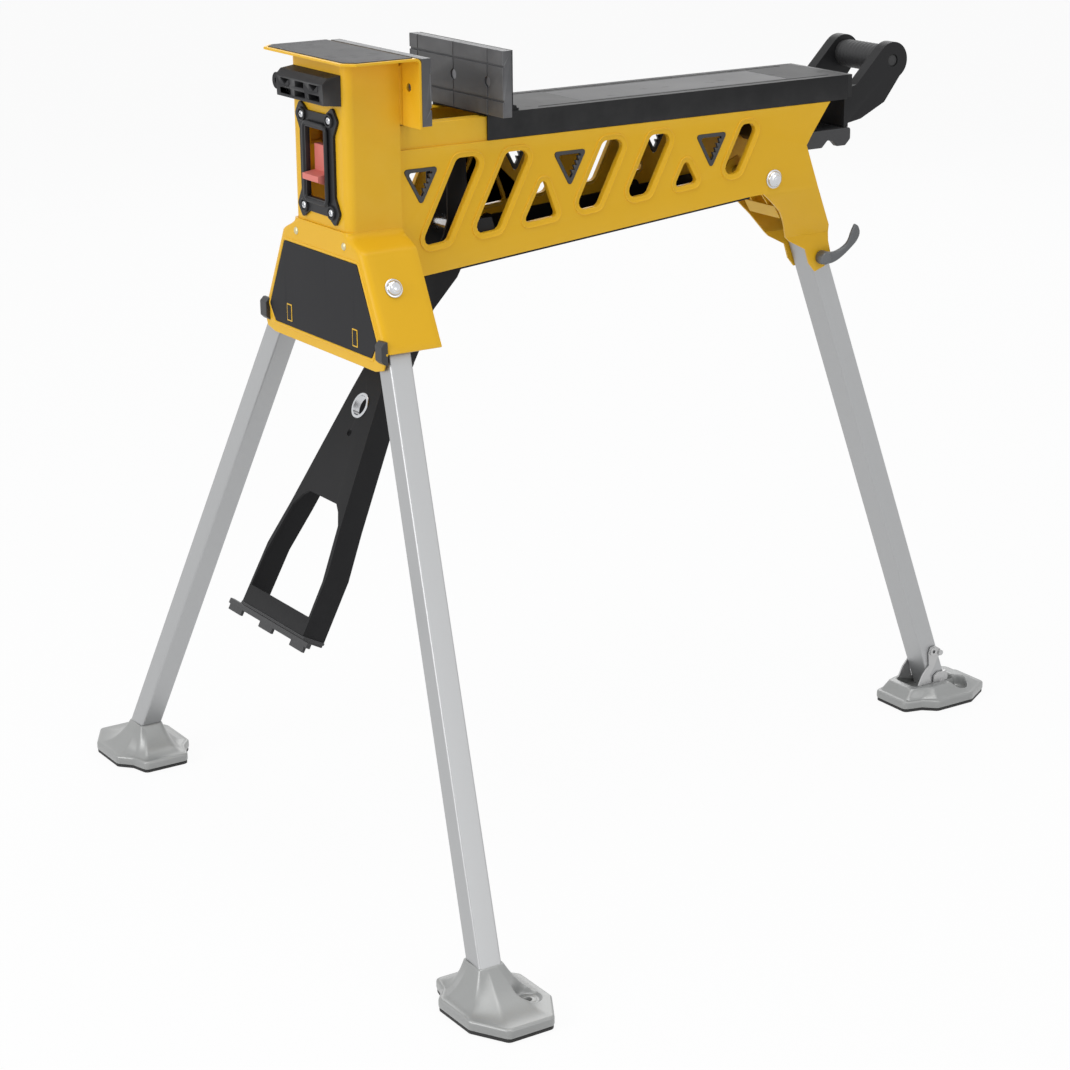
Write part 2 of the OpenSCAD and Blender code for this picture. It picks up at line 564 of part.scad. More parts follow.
// Clutch housing under the rail, its two lock plates, and the bracket and pin of the lock lever
lock_x = along(520);
module clutch_housing() color(black) place() difference() {
    box([lock_x, -22, bar_z - 12], [lock_x + 34, 22, rail_top - sheet]);
    box([lock_x + 3, -19, bar_z - 9], [lock_x + 31, 19, rail_top - sheet - 3]);
    box([lock_x - 1, -bar_w / 2 - 0.8, bar_z - 0.8], [lock_x + 40, bar_w / 2 + 0.8, bar_z + bar_h + 0.8]);
    rod_x(14, rod_z, 4 + 2 * fit, lock_x - 1, lock_x + 4);
}
module lock_plates() color(zinc) place() for (x = [lock_x + 8, lock_x + 16]) difference() {
    box([x, -17, bar_z - 8], [x + 4, 17, bar_z + bar_h + 1.5]);
    box([x - 1, -bar_w / 2 - gap, bar_z - gap], [x + 5, bar_w / 2 + gap, bar_z + bar_h + gap]);
}
lever_hub = lever_pivot[0];
module lever_pin() color(zinc) place() rod_y(lever_hub, lever_pivot[1], 6, -26, 26);

// Slide: the inverted channel that carries the moving jaw
module slide_channel() color(black) place() difference() {
    box([slide_x0, -slide_out, step_z + 0.5], [slide_x1, slide_out, slide_top]);
    box([slide_x0 - 1, -slide_in, step_z - 10], [slide_x1 + 1, slide_in, slide_top - sheet]);
    box([slide_x0 + 129, -38, slide_top - 0.6], [slide_x1 - 73, 38, slide_top + 1]);
}
module slide_inlay() color(grey) place()
    box([slide_x0 + 129 + gap, -38 + gap, slide_top - 0.6],
        [slide_x1 - 73 - gap, 38 - gap, slide_top - 0.1]);
module drive_bar() color(zinc) place()
    box([bar_x0, -bar_w / 2, bar_z], [slide_x1, bar_w / 2, bar_z + bar_h]);
module moving_jaw_bracket() color(black) place() difference() {
    union() {
        box([moving_face + jaw_t, -jaw_w / 2 + 2, jaw_z],
            [moving_face + jaw_t + sheet, jaw_w / 2 - 2, jaw_z + jaw_h]);
        box([moving_face + jaw_t, -plate_in, slide_top],
            [moving_face + jaw_t + 34, plate_in, slide_top + sheet]);
        both() sheet_xz(plate_in - sheet, sheet) polygon([[moving_face + jaw_t, slide_top],
            [moving_face + jaw_t + 32, slide_top], [moving_face + jaw_t + 31, slide_top + 5],
            [moving_face + jaw_t + 14, slide_top + 10], [moving_face + jaw_t + 8, slide_top + 26],
            [moving_face + jaw_t + 5, jaw_z + jaw_h - 3], [moving_face + jaw_t, jaw_z + jaw_h - 3]]);
    }
    for (y = [pad_screw_y, -jaw_w * 0.34]) rod_x(y, jaw_z + jaw_h / 2, 6, moving_face, moving_face + 40);
}

// Rear handle: end cap and two arms, with the round grip between them
grip = [slide_x1 + 70, slide_top + 9.5];
module rear_handle() color(black) place() difference() {
    union() {
        box([slide_x1, -slide_out, step_z + 2.5], [slide_x1 + 6, slide_out, slide_top]);
        box([slide_x1, -chan_out, guide_z + gap], [slide_x1 + 6, chan_out, slide_top]);
        both() {
            sheet_xz(36, 14) polygon([[slide_x1 + 5, slide_top - 16], [slide_x1 + 17, slide_top - 13.5],
                [slide_x1 + 27, slide_top - 3.5], grip + [-15, 15], grip + [18, -9],
                    [slide_x1 + 59, slide_top - 36.5],
                [slide_x1 + 25, slide_top - 52.5], [slide_x1 + 5, slide_top - 56]]);
            rod_y(grip[0], grip[1], 42, 36, 50);
        }
    }
    rod_y(grip[0], grip[1], 14, -60, 60);
}
module handle_grip() color(black) place() {
    rod_y(grip[0], grip[1], 32, -36, 36);
    rod_y(grip[0], grip[1], 13.9, -49, 49);
}

// Pedal: raked web with flanged sides, crank cheeks and the fork for the link pin
cr = cos(pedal_rake);
sr = sin(pedal_rake);
function in_pedal(dx, dz) = [dx * cr - dz * sr, dx * sr + dz * cr];
toe = tread_w / 2 - 19;
bar_y = crank_w / 2 - 4.5;
side_pts = [[bar_y - 0.2, 150], [bar_y - 0.2, 170], [bar_y + 6.5, 200], [bar_y + 32.5, 337],
    [toe - 1.5, 388], [toe, pedal_len]];
window_s = 318;
window_e = pedal_len - 20;
module pedal_side() sheet_yz(web_x, flange_d) polygon(concat([for (p = side_pts) [p[0], -p[1]]],
    [for (i = [len(side_pts) - 1:-1:0]) [side_pts[i][0] - cheek_t, -side_pts[i][1]]]));
module pedal_arm() color(black) place() difference() {
    union() {
        pedal_frame() difference() {
            union() {
                sheet_yz(web_x, cheek_t) polygon(concat([[bar_y, -60]], [for (p = side_pts) [p[0], -p[1]]],
                    [for (i = [len(side_pts) - 1:-1:0]) [-side_pts[i][0], -side_pts[i][1]]],
                        [[-bar_y, -60]]));
                translate([web_x + 1, 0, -213]) rotate([0, 90, 0]) cylinder(h = 6, d = 30, $fn = 48);
                both() pedal_side();
            }
            sheet_yz(web_x - 1, cheek_t + 2) polygon(rounded([[-39, -window_s - 7], [-30, -window_s],
                [30, -window_s], [39, -window_s - 7], [toe - 19, -window_s - 20],
                    [toe - 5.5, -window_e + 40],
                [toe - 4, -window_e], [-toe + 4, -window_e], [-toe + 5.5, -window_e + 40],
                [-toe + 19, -window_s - 20]], 1.5, 2));
            translate([web_x - 5, 0, -213]) rotate([0, 90, 0]) cylinder(h = 20, d = 24, $fn = 40);
            translate([web_x - 5, 0, -244]) rotate([0, 90, 0]) cylinder(h = 20, d = 8, $fn = 32);
        }
        pedal_frame() both() sheet_xz(bar_y - cheek_t, cheek_t) polygon([in_pedal(-11, fork_r + 10),
            in_pedal(11, fork_r + 10), in_pedal(13, 8), in_pedal(12, -30), [24, -48], [12, -90],
            [web_x + flange_d - 0.5, -120], [web_x + flange_d - 0.5, -168], [web_x + 0.5, -168],
            [web_x + 0.5, -14], in_pedal(-12, 8)]);
    }
    box([pedal_pivot[0] - link_pin_d / 2 - 0.5, -60, pedal_pivot[1] + fork_r],
        [pedal_pivot[0] + link_pin_d / 2 + 0.5, 60, pedal_pivot[1] + fork_r + 20]);
    rod_y(pedal_pivot[0], pedal_pivot[1] + fork_r, link_pin_d + 1.2, -60, 60);
    rod_y(pedal_pivot[0], pedal_pivot[1], pedal_pin_d + 5, -60, 60);
}
module pedal_bush() color(zinc) place() difference() {
    rod_y(pedal_pivot[0], pedal_pivot[1], pedal_pin_d + 5, -bar_y - 1, bar_y + 1);
    rod_y(pedal_pivot[0], pedal_pivot[1], pedal_pin_d + 2 * fit, -60, 60);
}
// Tread: ribbed bar between the ends of the sides, with toe lips
module pedal_tread() color(black) place() pedal_frame() {
    box([web_x, -toe - 2, -pedal_len - 3], [web_x + flange_d, toe + 2, -pedal_len]);
    box([web_x - 4, -tread_w / 2, -pedal_len - 9], [web_x + 2, tread_w / 2, -pedal_len - 3]);
    box([web_x, -toe, -pedal_len - 6], [web_x + flange_d, toe, -pedal_len - 3]);
    for (y = [-tread_w / 2 + 4, -14, tread_w / 2 - 32])
        box([web_x - 4, y, -pedal_len - 15], [web_x, y + 28, -pedal_len - 9]);
    for (x = [6, 13, 20]) box([web_x + x, -toe + cheek_t, -pedal_len],
        [web_x + x + 3, toe - cheek_t, -pedal_len + 2]);
}

// Drive: link and carriage, its two drive plates, and the pin that joins the link to the pedal's fork
car_x = along(470);
module drive_carriage() color(black) place() difference() {
    union() {
        box([pedal_pivot[0] - 9, -8, link_z - 5], [car_x + 6, 8, link_z + 5]);
        box([car_x, -11, link_z - 5], [car_x + 4, 11, rail_top - sheet - 1]);
        box([car_x + 30, -11, link_z - 5], [car_x + 34, 11, rail_top - sheet - 1]);
        box([car_x, -11, link_z - 5], [car_x + 34, 11, link_z - 1]);
    }
    box([car_x - 1, -bar_w / 2 - 0.8, bar_z - 0.8], [car_x + 50, bar_w / 2 + 0.8, bar_z + bar_h + 0.8]);
    rod_y(pedal_pivot[0], link_z, link_pin_d, -20, 20);
}
module drive_plates() color(zinc) place() for (x = [car_x + 14, car_x + 22]) difference() {
    box([x, -10, link_z - 1], [x + 4, 10, bar_z + bar_h + 1.5]);
    box([x - 1, -bar_w / 2 - gap, bar_z - gap], [x + 5, bar_w / 2 + gap, bar_z + bar_h + gap]);
}
module link_pin() color(zinc) place() rod_y(pedal_pivot[0], link_z, link_pin_d, -bar_y - 2, bar_y + 2);

// Red lock lever and the rod it pushes
module lock_lever() color(red) place() translate([lever_pivot[0], 0, lever_pivot[1]]) difference() {
    union() {
        sheet_xz(-lever_w / 2, lever_w) polygon([[-17, 13], [-17, -14], [-32, -16], [-32, -22], [-22, -26],
            [-12, -26], [-10, -14], [-10, 13]]);
        sheet_xz(-8, 16) polygon([[-11, -10], [0, -8], [6, -4], [7, 4], [7, 12], [3, 17.5], [-3, 17.5],
            [-7, 12], [-11, 10]]);
    }
    rod_y(0, 0, 6 + 2 * fit, -40, 40);
    rod_y(0, rod_arm, 6.6, 3, 40);
}
rod_z = lever_pivot[1] + rod_arm;
module lock_rod() color(zinc) place() {
    rod_x(14, rod_z, 4, lever_hub - 2, lock_x + 2.5);
    rod_y(lever_hub, rod_z, 4, 4, 14);
}

// Front legs: square tube, plug in the top, cast foot and its rubber sole
module tube(a, b, wall, lo, hi) translate([0, 0, lo]) linear_extrude(hi - lo) difference() {
    polygon(rounded([[-a / 2, -b / 2], [a / 2, -b / 2], [a / 2, b / 2], [-a / 2, b / 2]], 2.5, 3));
    polygon([[wall - a / 2, wall - b / 2], [a / 2 - wall, wall - b / 2], [a / 2 - wall, b / 2 - wall],
        [wall - a / 2, b / 2 - wall]]);
}
module front_leg() difference() {
    tube(leg_a, leg_a, leg_wall, -leg_end, leg_top);
    rotate([90, 0, 0]) cylinder(h = 80, d = hip_bolt_d + 2 * fit, center = true, $fn = 40);
}
module front_leg_far() color(alloy) place() far_leg_frame() front_leg();
module front_leg_near() color(alloy) place() near_leg_frame() front_leg();
module leg_plug() {
    h = leg_a / 2 - leg_wall;
    box([-h, -h, leg_top - 8], [h, h, leg_top]);
    box([-leg_a / 2 + 0.5, -leg_a / 2 + 0.5, leg_top], [leg_a / 2 - 0.5, leg_a / 2 - 0.5, leg_top + 2]);
}
module leg_plug_far() color(black) place() far_leg_frame() leg_plug();
module leg_plug_near() color(black) place() near_leg_frame() leg_plug();

// Foot casting in its own frame: u across, v outwards, the leg's axis at the origin on the ground
function foot_outline(k) = let (h = foot_w / 2 * k, e = (foot_len - inner_end) * k - (1 - k) * 6,
    i = inner_end * k)
    [[-h * 0.58, -i], [h * 0.58, -i], [h * 0.71, -i * 0.68], [h, -i * 0.47], [h, e * 0.37], [h * 0.54, e],
        [-h * 0.54, e], [-h, e * 0.37], [-h, -i * 0.47], [-h * 0.71, -i * 0.68]];
module sole() linear_extrude(sole_t) polygon(rounded(foot_outline(0.985), 6, 3));
module casting() {
    translate([0, 0, sole_t]) linear_extrude(cast_t - 2) polygon(rounded(foot_outline(1), 6, 3));
    translate([0, 0, sole_t + cast_t - 2]) linear_extrude(7) polygon(rounded(foot_outline(0.86), 6, 3));
    translate([0, 0, sole_t + cast_t + 5]) linear_extrude(6) polygon(rounded(foot_outline(0.64), 6, 3));
}
hole_u = 24;
hole_v = 15;
hole_d = 9;
module foot_hole() {
    translate([0, 0, -1]) cylinder(h = 60, d = hole_d, $fn = 32);
    translate([0, 0, 12]) cylinder(h = 60, d = 26, $fn = 40);
}
// The casting rises to a shin round the end of a front leg
shin_z = 46;
shin_x = shin_z * (hip_x + foot_front) / hip_z - foot_front;
shin_y = foot_y - shin_z * (foot_y - hip_y) / hip_z;
module front_foot() difference() {
    union() {
        translate([8 - foot_front, foot_y, 0]) casting();
        intersection() {
            sheet_xz(0, 600) polygon([[-foot_front - 38, cast_t], [-foot_front + 40, cast_t],
                [shin_x + 15, shin_z], [shin_x - 15, shin_z]]);
            sheet_yz(-300, 600) polygon([[foot_y - 60, cast_t], [foot_y + 48, cast_t],
                [shin_y + 17, shin_z], [shin_y - 17, shin_z]]);
        }
    }
    far_leg_frame() box([-leg_a / 2 - fit, -leg_a / 2 - fit, -leg_end],
        [leg_a / 2 + fit, leg_a / 2 + fit, 0]);
    translate([8 + hole_u - foot_front, foot_y + hole_v, 0]) foot_hole();
}
module front_foot_far() color(alloy) place() front_foot();
module front_foot_near() color(alloy) place() mirror([0, 1, 0]) front_foot();
module front_sole() difference() {
    translate([8 - foot_front, foot_y, 0]) sole();
    translate([8 + hole_u - foot_front, foot_y + hole_v, -1]) cylinder(h = 60, d = hole_d, $fn = 32);
}
module front_sole_far() color(black) place() front_sole();
module front_sole_near() color(black) place() mirror([0, 1, 0]) front_sole();

// Press catches of the front legs at the lower corners of the skirt
module leg_catch() difference() {
    box([skirt_x - 5, catch_y - 7, catch_z - 12], [skirt_x + sheet, catch_y + 7, catch_z + 12]);
    translate([skirt_x - 5, catch_y, catch_z + 12]) rotate([0, 45, 0]) cube([6, 20, 6], center = true);
    translate([skirt_x - 5, catch_y, catch_z - 12]) rotate([0, 45, 0]) cube([6, 20, 6], center = true);
}
module leg_catch_far() color(black) place() leg_catch();
module leg_catch_near() color(black) place() mirror([0, 1, 0]) leg_catch();

// Rear leg: tube, the carrier that hinges it, and its rivets
car_y = rear_w / 2 - leg_wall;
car_x0 = rear_off - rear_d / 2 + leg_wall;
car_x1 = rear_off + rear_d / 2 - leg_wall;
module rear_leg_tube() color(alloy) place() rear_frame() difference() {
    translate([rear_off, 0, 0]) tube(rear_d, rear_w, leg_wall, -rear_end, -rear_top);
    for (z = [-rear_top - 20, -rear_top - 45])
        translate([rear_off, 0, z]) rotate([90, 0, 0]) cylinder(h = 80, d = 6, center = true, $fn = 32);
}
module rear_leg_carrier() color(yellow) place() rear_frame() {
    both() difference() {
        sheet_xz(car_y - sheet, sheet) polygon([[-14, -8], [-14, 8], [-6, 15], [8, 15],
            [car_x1, -rear_top + 17],
            [car_x1, -rear_top - 60], [car_x0, -rear_top - 60], [car_x0, gap - rear_top], [14, -60],
                [2, -18]]);
        rod_y(0, 0, rear_bolt_d + 2 * fit, -60, 60);
        for (z = [-rear_top - 20, -rear_top - 45]) rod_y(rear_off, z, 6, -60, 60);
    }
    sheet_xz(-28, 56) polygon([[11, -43], [14, -60], [11.5, -60.5], [8.5, -43.5]]);
    box([car_x0, sheet - car_y, -rear_top - 30], [car_x0 + sheet, car_y - sheet, -rear_top - 8]);
}
module carrier_rivets() color(zinc) place() rear_frame() both() for (z = [-rear_top - 20, -rear_top - 45]) {
    rod_y(rear_off, z, 6, car_y - sheet - 1, rear_w / 2);
    rod_y(rear_off, z, 9, car_y - sheet - 2, car_y - sheet - 1);
}

// Lock lever of the rear leg: pin in the near tongue, a bent arm and a teardrop knob
knob = [tail + 123, crease_lo - 14];
module rear_lock_lever() color(grey) place() {
    rod_y(lock_pin[0], lock_pin[1], lock_pin_d, -tongue_out - 4, -tongue_in + 0.2);
    rod_y(lock_pin[0], lock_pin[1], 16, -tongue_out - 12, -tongue_out - 1);
    sheet_xz(-tongue_out - 11, 6) polygon([lock_pin + [-3, -7], lock_pin + [14, -6], knob + [0, -9],
        knob + [8, 2], knob + [3, 14], knob + [-4, 4], lock_pin + [14, 6], lock_pin + [0, 7.5]]);
}

// Levelling foot of the rear leg: spigot in the tube, casting, sole and the catch beside the tube
module rear_place() translate([rear_foot_x, 0, 0]) rotate([0, 0, -90]) children();
spig_x = rear_d / 2 - leg_wall - gap;
spig_y = rear_w / 2 - leg_wall - gap;
spig_z = 28 - gap;
module rear_spigot() color(zinc) place() rear_frame()
    box([rear_off - spig_x, -spig_y, -rear_reach + spig_z], [rear_off + spig_x, spig_y, -rear_reach + 130]);
function by_tube(u, w) = [rear_off + u, w - rear_reach];
foot_bolt = by_tube(4.6, 23.9);
module rear_foot() color(alloy) place() difference() {
    union() {
        difference() {
            rear_place() casting();
            box([rear_foot_x - 50, -21.5, 16], [rear_foot_x + 20, 21.5, 60]);
            translate([rear_foot_x + hole_v, hole_u, 0]) foot_hole();
        }
        intersection() {
            rear_frame() box([rear_off - rear_d / 2, -rear_w / 2, -rear_reach - 30],
                [rear_off + rear_d / 2, rear_w / 2, -rear_reach + spig_z]);
            box([rear_foot_x - 60, -30, sole_t + 2], [rear_foot_x + 60, 30, 60]);
        }
    }
    rear_frame() rod_y(foot_bolt[0], foot_bolt[1], 6 + 2 * fit, -40, 40);
}
module rear_sole() color(black) place() difference() {
    rear_place() sole();
    translate([rear_foot_x + hole_v, hole_u, -1]) cylinder(h = 60, d = hole_d, $fn = 32);
}

// Catch of the levelling foot: on each side of the tube a bracket on a pin through the foot, and a slim lever
// that rises from its front corner to a curled eye; a strip behind the tube joins the two sides
catch_plate = rear_w / 2 + 0.8;
catch_back = rear_d / 2 + gap;
catch_edge = catch_back + 2.4;
catch_eye = by_tube(3.4, 72.9);
catch_curl = by_tube(13.2, 65.5);
module foot_catch() color(alloy) place() rear_frame() {
    both() difference() {
        union() {
            sheet_xz(catch_plate, 2) polygon(rounded([by_tube(-32, 40.6), by_tube(-21, 51), by_tube(-7.5, 58),
                by_tube(-3.6, 73), by_tube(2, 79.5), by_tube(9, 78), by_tube(catch_edge, 70),
                by_tube(catch_edge, 62.5), by_tube(7, 61), by_tube(-1, 52), by_tube(-10.5, 45),
                by_tube(-12, 31.5), by_tube(-8.5, 31), by_tube(-5, 39.5), by_tube(3, 41.5),
                by_tube(8, 38.5), by_tube(catch_edge, 37), by_tube(catch_edge, 28), by_tube(9.6, 18.8),
                by_tube(2.2, 17.3), by_tube(-8.4, 23.4)], 1.2, 3));
            rod_y(catch_eye[0], catch_eye[1], 10.5, catch_plate + 1, catch_plate + 4);
            rod_y(catch_curl[0], catch_curl[1], 7, catch_plate + 1, catch_plate + 4);
            rod_y(foot_bolt[0], foot_bolt[1], 9, catch_plate + 1, catch_plate + 3);
        }
        rod_y(catch_eye[0], catch_eye[1], 4.5, catch_plate - 1, catch_plate + 5);
    }
    sheet_xz(-catch_plate - 1, 2 * catch_plate + 2) polygon([by_tube(catch_back, 28.5),
        by_tube(catch_back + 2, 28.5), by_tube(catch_back + 2, 36.5), by_tube(catch_back, 36.5)]);
    rod_y(foot_bolt[0], foot_bolt[1], 6, -catch_plate - 4, catch_plate + 4);
}

// One line for each node
head_shell();
head_skirt();
front_panel();
top_jaw_plate();
top_sheet();
fixed_jaw_pad();
moving_jaw_pad();
fixed_jaw_screws();
moving_jaw_screws();
jaw_gussets();
front_block();
lever_cover();
cover_screws();
skirt_rivets();
beam_plate_far();
beam_plate_near();
window_rims();
top_rail();
lower_channel();
rear_guide_block();
rear_pivot_bolt();
pedal_pivot_pin();
pedal_return_spring();
leg_inner_brackets();
hip_bolts();
clutch_housing();
lock_plates();
lever_pin();
slide_channel();
slide_inlay();
drive_bar();
moving_jaw_bracket();
rear_handle();
handle_grip();
pedal_arm();
pedal_bush();
pedal_tread();
drive_carriage();
drive_plates();
link_pin();
lock_lever();
lock_rod();
front_leg_far();
front_leg_near();
leg_plug_far();
leg_plug_near();
front_foot_far();
front_foot_near();
front_sole_far();
front_sole_near();
leg_catch_far();
leg_catch_near();
rear_leg_tube();
rear_leg_carrier();
carrier_rivets();
rear_lock_lever();
rear_spigot();
rear_foot();
rear_sole();
foot_catch();
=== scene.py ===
# Portable workbench with a foot-driven jaw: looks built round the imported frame.
# Each section makes one piece or one group of like pieces, in the order in which the bench goes together.
# Lengths are in metres. Numbers written as 12 * mm are millimetres of the real bench.
import json
import math

import bmesh
import bpy
import numpy as np
from mathutils import Matrix, Vector


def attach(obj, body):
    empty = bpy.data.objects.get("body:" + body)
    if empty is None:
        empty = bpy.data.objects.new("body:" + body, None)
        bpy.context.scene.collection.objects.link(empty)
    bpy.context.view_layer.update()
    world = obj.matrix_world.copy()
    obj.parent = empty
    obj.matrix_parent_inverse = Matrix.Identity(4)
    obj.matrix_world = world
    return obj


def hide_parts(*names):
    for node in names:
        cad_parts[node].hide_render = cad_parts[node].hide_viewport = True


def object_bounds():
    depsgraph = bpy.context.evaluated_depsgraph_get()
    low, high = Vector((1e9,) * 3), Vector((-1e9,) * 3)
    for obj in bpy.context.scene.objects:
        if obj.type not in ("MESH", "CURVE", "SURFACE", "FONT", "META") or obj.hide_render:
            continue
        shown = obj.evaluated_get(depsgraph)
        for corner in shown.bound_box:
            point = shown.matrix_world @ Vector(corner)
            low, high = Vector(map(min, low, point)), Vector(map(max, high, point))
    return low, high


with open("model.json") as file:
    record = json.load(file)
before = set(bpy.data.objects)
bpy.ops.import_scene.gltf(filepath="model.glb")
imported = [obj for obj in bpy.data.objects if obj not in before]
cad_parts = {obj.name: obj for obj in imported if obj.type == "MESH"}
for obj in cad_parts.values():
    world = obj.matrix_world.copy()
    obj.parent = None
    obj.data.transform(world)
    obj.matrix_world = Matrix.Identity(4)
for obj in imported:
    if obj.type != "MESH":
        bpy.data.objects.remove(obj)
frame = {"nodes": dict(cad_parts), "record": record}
cad_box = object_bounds()

# ---- Studio
# A pale floor and backdrop, soft lamps above, in front, on the near side and behind, and the camera that took
# the picture: a long lens, low above the bench, turned by a third of a right angle towards its near side.
mm = 0.001
scene = bpy.context.scene
scene.view_settings.view_transform = "Standard"

# x counts along the bench from the front of its head, and the frame's origin lies at mid_x.
mid_x = 410.5 * mm
azimuth, elevation, roll = map(math.radians, (-33.14, 17.88, -0.45))
aim = Vector((256.58 * mm - mid_x, 0, 325.43 * mm))
distance = 2990.3 * mm
photo_size, focal_px = 1070, 2663.35


def camera_frame(azimuth, elevation, roll):
    """Right, up and back of a camera that looks at the bench: right is level, back is level right turned by a
    quarter turn and raised by the elevation, up completes them, and right and up are turned by the roll."""
    right = Vector((math.cos(azimuth), math.sin(azimuth), 0))
    back = Vector((right.y * math.cos(elevation), -right.x * math.cos(elevation), math.sin(elevation)))
    up = back.cross(right)
    return (right * math.cos(roll) + up * math.sin(roll), up * math.cos(roll) - right * math.sin(roll), back)


lens = bpy.data.cameras.new("camera")
lens.sensor_fit = "HORIZONTAL"
lens.sensor_width = 36
lens.lens = focal_px / photo_size * lens.sensor_width
lens.clip_end = 60
camera = bpy.data.objects.new("camera", lens)
axes = camera_frame(azimuth, elevation, roll)
camera.matrix_world = Matrix.Translation(aim + axes[2] * distance) @ Matrix(axes).transposed().to_4x4()
scene.collection.objects.link(camera)
scene.camera = camera


def soft_lamp(name, place, size, watts):
    """A square area lamp at a place, turned to the middle of the bench."""
    data = bpy.data.lights.new(name, "AREA")
    data.size = size
    data.energy = watts
    lamp = bpy.data.objects.new(name, data)
    lamp.location = place
    lamp.rotation_euler = (Vector((0, 0, 0.5)) - Vector(place)).to_track_quat("-Z", "Y").to_euler()
    scene.collection.objects.link(lamp)


soft_lamp("lamp_above", (-0.4, -0.5, 3.6), 2.6, 50)
soft_lamp("lamp_front_left", (-3.4, -0.2, 1.7), 1.8, 42)
soft_lamp("lamp_near", (0.6, -3.6, 1.6), 2.0, 16)
soft_lamp("lamp_back", (2.2, 3.0, 2.2), 2.0, 22)


def math_node(tree, operation, first, second=None):
    """A Math node whose inputs are sockets or numbers; gives its output socket."""
    node = tree.nodes.new("ShaderNodeMath")
    node.operation = operation
    for slot, value in zip(node.inputs, (first, second)):
        if isinstance(value, (int, float)):
            slot.default_value = value
        elif value is not None:
            tree.links.new(value, slot)
    return node.outputs[0]


def white_to_the_eye(tree, plain, share):
    """Light Path switch: a camera, mirror or glass ray sees a mix of white and the plain shader, and every
    other ray sees the plain shader alone."""
    path = tree.nodes.new("ShaderNodeLightPath")
    mirrored = math_node(tree, "ADD", path.outputs["Is Glossy Ray"], path.outputs["Is Transmission Ray"])
    seen = math_node(tree, "ADD", path.outputs["Is Camera Ray"], mirrored)
    for total in (mirrored, seen):
        total.node.use_clamp = True
    white = tree.nodes.new("ShaderNodeBackground" if plain.type == "BACKGROUND" else "ShaderNodeEmission")
    white.inputs["Color"].default_value = (1, 1, 1, 1)
    white.inputs["Strength"].default_value = 1
    mix = tree.nodes.new("ShaderNodeMixShader")
    for slot, value in zip(mix.inputs, (math_node(tree, "MULTIPLY", seen, share), plain.outputs[0], white.outputs[0])):
        tree.links.new(value, slot)
    return mix


world = bpy.data.worlds.new("studio")
world.use_nodes = True
scene.world = world
sky = world.node_tree.nodes["Background"]
sky.inputs["Color"].default_value = (0.95, 0.97, 1, 1)
sky.inputs["Strength"].default_value = 0.42
world.node_tree.links.new(white_to_the_eye(world.node_tree, sky, 1).outputs[0],
                          world.node_tree.nodes["World Output"].inputs["Surface"])

floor_mesh = bpy.data.meshes.new("floor")
floor_half, floor_gap = 9, 0.5 * mm
floor_mesh.from_pydata([(x * floor_half, y * floor_half, 0) for x, y in ((-1, -1), (1, -1), (1, 1), (-1, 1))],
                       [], [(0, 1, 2, 3)])
floor = bpy.data.objects.new("floor", floor_mesh)
floor.location.z = cad_box[0].z - floor_gap
scene.collection.objects.link(floor)
floor_paint = bpy.data.materials.new("floor_paint")
floor_paint.use_nodes = True
floor_shader = floor_paint.node_tree.nodes["Principled BSDF"]
floor_shader.inputs["Base Color"].default_value = (0.86, 0.86, 0.86, 1)
floor_shader.inputs["Roughness"].default_value = 0.9
floor_white = 0.93  # the rest of what the eye sees of the floor is its own paint, with the bench's shadow
floor_paint.node_tree.links.new(white_to_the_eye(floor_paint.node_tree, floor_shader, floor_white).outputs[0],
                                floor_paint.node_tree.nodes["Material Output"].inputs["Surface"])
floor_mesh.materials.append(floor_paint)


# ---- Beam plates
# Two pressed steel side plates, powder coated yellow, with slanted slots and a joggle down to the rear leg.
# Every slot has a low bead round it and a lip rolled inwards, which catches the light along its lower edge.
def effect_group(name, inputs, outputs):
    """An empty node group with a vector input and named float inputs and outputs; gives it and its sockets."""
    group = bpy.data.node_groups.new(name, "ShaderNodeTree")
    group.interface.new_socket(name="Vector", in_out="INPUT", socket_type="NodeSocketVector")
    for way, labels in (("INPUT", inputs), ("OUTPUT", outputs)):
        for label in labels:
            group.interface.new_socket(name=label, in_out=way, socket_type="NodeSocketFloat")
    return group, group.nodes.new("NodeGroupInput").outputs, group.nodes.new("NodeGroupOutput").inputs


def noise_node(tree, place, scale, detail):
    """A Noise texture at a place, its scale a number or a socket; gives its factor socket."""
    node = tree.nodes.new("ShaderNodeTexNoise")
    node.inputs["Detail"].default_value = detail
    tree.links.new(place, node.inputs["Vector"])
    if isinstance(scale, (int, float)):
        node.inputs["Scale"].default_value = scale
    else:
        tree.links.new(scale, node.inputs["Scale"])
    return node.outputs["Fac"]


def surface_grain():
    """Grain of a coated or moulded surface: a fine height, and a slow cloud of tone between 0 and 1."""
    group, given, result = effect_group("surface_grain", ["Grain", "Cloud"], ["Height", "Tone"])
    group.links.new(noise_node(group, given["Vector"], given["Grain"], 2), result["Height"])
    group.links.new(noise_node(group, given["Vector"], given["Cloud"], 4), result["Tone"])
    return group


def mask_above(group, value, level, gain, patches, amount):
    """A mask where a value rises above a level: the rise times a gain, patches and an amount, held under 1."""
    rise = math_node(group, "MULTIPLY", math_node(group, "SUBTRACT", value, level), gain)
    patchy = math_node(group, "MULTIPLY", math_node(group, "MAXIMUM", rise, 0.0), patches)
    return math_node(group, "MINIMUM", math_node(group, "MULTIPLY", patchy, amount), 1.0)


